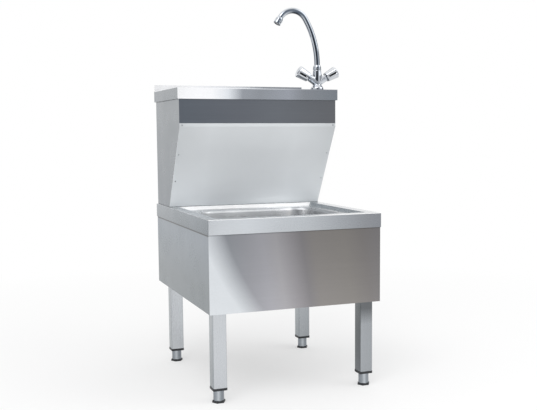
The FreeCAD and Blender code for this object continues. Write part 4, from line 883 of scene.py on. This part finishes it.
def makeFootBead(settings):
    # a thin uneven bead where the upper cabinet stands on the sink's shelf, along its sides and its cover
    x, front, rear, step = settings["x"], settings["front"], settings["rear"], settings["step"]
    height, waves = settings["height"], settings["waves"]
    route = [(-x, rear - i * step) for i in range(int((rear - front) / step))]
    route += [(-x + i * step, front) for i in range(int(2 * x / step) + 1)]
    route += [(x, front + (i + 1) * step) for i in range(int((rear - front) / step))]
    shape = bmesh.new()
    loops = []
    for i, (u, v) in enumerate(route):
        before, after = Vector(route[max(0, i - 1)]), Vector(route[min(len(route) - 1, i + 1)])
        ahead = (after - before).normalized()
        away = Vector((ahead.y, -ahead.x, 0))
        wave = sum(math.sin(i * speed + start) for speed, start in waves) / len(waves)
        radius = (settings["radius"] + settings["uneven"] * wave) * mm
        done = len(shape.edges)
        ring = bmesh.ops.create_circle(shape, cap_ends=False, segments=settings["sides"], radius=radius)
        for vert in ring["verts"]:
            across, lift = vert.co.x, vert.co.y
            vert.co = Vector((u, v, height)) * mm + away * across + Vector((middleX, 0, lift))
            vert.co.z = max(vert.co.z, (height + settings["clear"]) * mm)
        shape.edges.ensure_lookup_table()
        loops.append(shape.edges[done:])
    for first, second in zip(loops, loops[1:]):
        bmesh.ops.bridge_loops(shape, edges=first + second)
    for end in (loops[0], loops[-1]):
        bmesh.ops.contextual_create(shape, geom=end)
    bmesh.ops.recalc_face_normals(shape, faces=shape.faces)
    keep("footBead", shape, "darkBead", "cabinet")


makeFootBead(footBeadSet)
print("seal made")


floorSet = {"size": 40, "colour": tone(246, 246, 246), "glow": 0.45, "fadeFrom": 0.5, "fadeTo": 2.2}


def makeFloor(settings):
    # pale paper that fades to the white backdrop away from the unit and keeps its shadow near it
    mesh = bpy.data.meshes.new("floor")
    shape = bmesh.new()
    bmesh.ops.create_grid(shape, x_segments=1, y_segments=1, size=settings["size"] / 2)
    shape.to_mesh(mesh)
    shape.free()
    floor = bpy.data.objects.new("floor", mesh)
    bpy.context.scene.collection.objects.link(floor)
    finish = Finish("floorPaper")
    fibre = finish.between(finish.noise(90, 2, 0.5), 0.995, 1.005, 0.3, 0.7)
    finish.set(Base_Color=finish.shade(settings["colour"], fibre), Roughness=0.9, Specular_IOR_Level=0.0)
    spot = finish.add("ShaderNodeTexCoord", output="Object")
    away = finish.add("ShaderNodeVectorMath", {"operation": "LENGTH"}, {0: spot}, output="Value")
    away = finish.between(away, settings["glow"], 1.0, settings["fadeFrom"], settings["fadeTo"])
    paper = Wire(finish, finish.shader.outputs[0])
    backdrop = finish.add("ShaderNodeEmission", None, {"Color": white})
    both = finish.add("ShaderNodeMixShader", None, {0: away * finish.seen(), 1: paper, 2: backdrop})
    finish.feed(finish.nodes["Material Output"].inputs["Surface"], both)
    mesh.materials.append(finish.material)


worldSet = {"light": 0.85, "backdrop": 1.0}


def makeWorld(settings):
    # a white backdrop for all that looks at it, and a softer light on the object
    world = bpy.data.worlds.new("studio")
    bpy.context.scene.world = world
    world.use_nodes = True
    world.node_tree.nodes.clear()
    studio = Tree(world.node_tree)
    soft, clear = (
        studio.add("ShaderNodeBackground", None, {"Color": white, "Strength": settings[k]})
        for k in ("light", "backdrop")
    )
    both = studio.add("ShaderNodeMixShader", None, {0: studio.seen(), 1: soft, 2: clear})
    studio.add("ShaderNodeOutputWorld", None, {"Surface": both})


# places in metres, power in watts; a lamp that isn't glossy stays out of reflections
lamps = {
    "keyLamp": {"place": (-1.6, -2.2, 3.4), "target": (0, 0, 0.4), "size": (2.2, 2.2), "power": 42},
    "fillLamp": {"place": (2.6, -1.6, 2.6), "target": (0, 0, 0.4), "size": (2.5, 2.5), "power": 22},
    "lowLamp": {
        "place": (-0.1, -3.0, 0.35), "target": (0, 0.1, 0.62), "size": (1.8, 1.0), "power": 20,
        "glossy": False,
    },
}


def makeLamp(name, settings):
    data = bpy.data.lights.new(name, "AREA")
    data.shape = "RECTANGLE"
    data.size, data.size_y = settings["size"]
    data.energy = settings["power"]
    lamp = bpy.data.objects.new(name, data)
    bpy.context.scene.collection.objects.link(lamp)
    lamp.location = settings["place"]
    lamp.visible_glossy = settings.get("glossy", True)
    way = Vector(settings["target"]) - Vector(settings["place"])
    lamp.rotation_euler = way.to_track_quat("-Z", "Y").to_euler()


# azimuth 0 is in front and 90 on the right; sizes in metres; light in linear values
cards = {
    "cameraCard": {
        "azimuth": -24, "distance": 3.4, "width": 4.2, "height": 4.0, "light": (0.015, 0.02, 0.03, 1),
    },
    "windowCard": {
        "azimuth": 16, "distance": 4.2, "width": 1.5, "height": 3.2, "light": (1.12, 1.13, 1.15, 1),
    },
    "rightCard": {
        "azimuth": 84, "distance": 4.0, "width": 4.0, "height": 3.4, "light": (0.08, 0.09, 0.1, 1),
    },
    "leftCard": {
        "azimuth": 238, "distance": 4.0, "width": 3.6, "height": 3.2, "light": (0.12, 0.14, 0.17, 1),
    },
}
cardFade = {"side": (0.28, 0.5), "top": (0.75, 1.0)}


def makeCard(name, settings, fading):
    # a card on the floor that only reflections see, fading to white at its sides and its top
    mesh = bpy.data.meshes.new(name)
    shape = bmesh.new()
    bmesh.ops.create_grid(shape, x_segments=1, y_segments=1, size=0.5)
    uvs = shape.loops.layers.uv.verify()
    for face in shape.faces:
        for loop in face.loops:
            loop[uvs].uv = loop.vert.co.xy + Vector((0.5, 0.5))
    turn = math.radians(settings["azimuth"])
    upright = Matrix.Rotation(turn, 3, "Z") @ Matrix.Rotation(math.pi / 2, 3, "X")
    place = Vector((math.sin(turn), -math.cos(turn), 0)) * settings["distance"]
    place.z = settings["height"] / 2
    bmesh.ops.scale(shape, vec=(settings["width"], settings["height"], 1), verts=shape.verts)
    bmesh.ops.rotate(shape, matrix=upright, verts=shape.verts)
    bmesh.ops.translate(shape, vec=place, verts=shape.verts)
    shape.to_mesh(mesh)
    shape.free()
    card = bpy.data.objects.new(name, mesh)
    bpy.context.scene.collection.objects.link(card)
    card.visible_camera = card.visible_diffuse = card.visible_shadow = False
    finish = Finish(name)
    spot = finish.add("ShaderNodeTexCoord", output="UV")
    across, upward = (finish.add("ShaderNodeSeparateXYZ", None, {0: spot}, output=i) for i in range(2))
    across = finish.add("ShaderNodeMath", {"operation": "ABSOLUTE"}, {0: across - 0.5})
    dark = finish.between(across, 1.0, 0.0, *fading["side"])
    dark = dark * finish.between(upward, 1.0, 0.0, *fading["top"])
    light = finish.mix(dark, white, settings["light"])
    finish.set(
        Base_Color=(0, 0, 0, 1), Emission_Color=light, Emission_Strength=1.0, Specular_IOR_Level=0.0,
    )
    mesh.materials.append(finish.material)


makeFloor(floorSet)
makeWorld(worldSet)
for name, settings in lamps.items():
    makeLamp(name, settings)
for name, settings in cards.items():
    makeCard(name, settings, cardFade)
print("studio lit")

bpy.context.scene.view_settings.view_transform = "Standard"
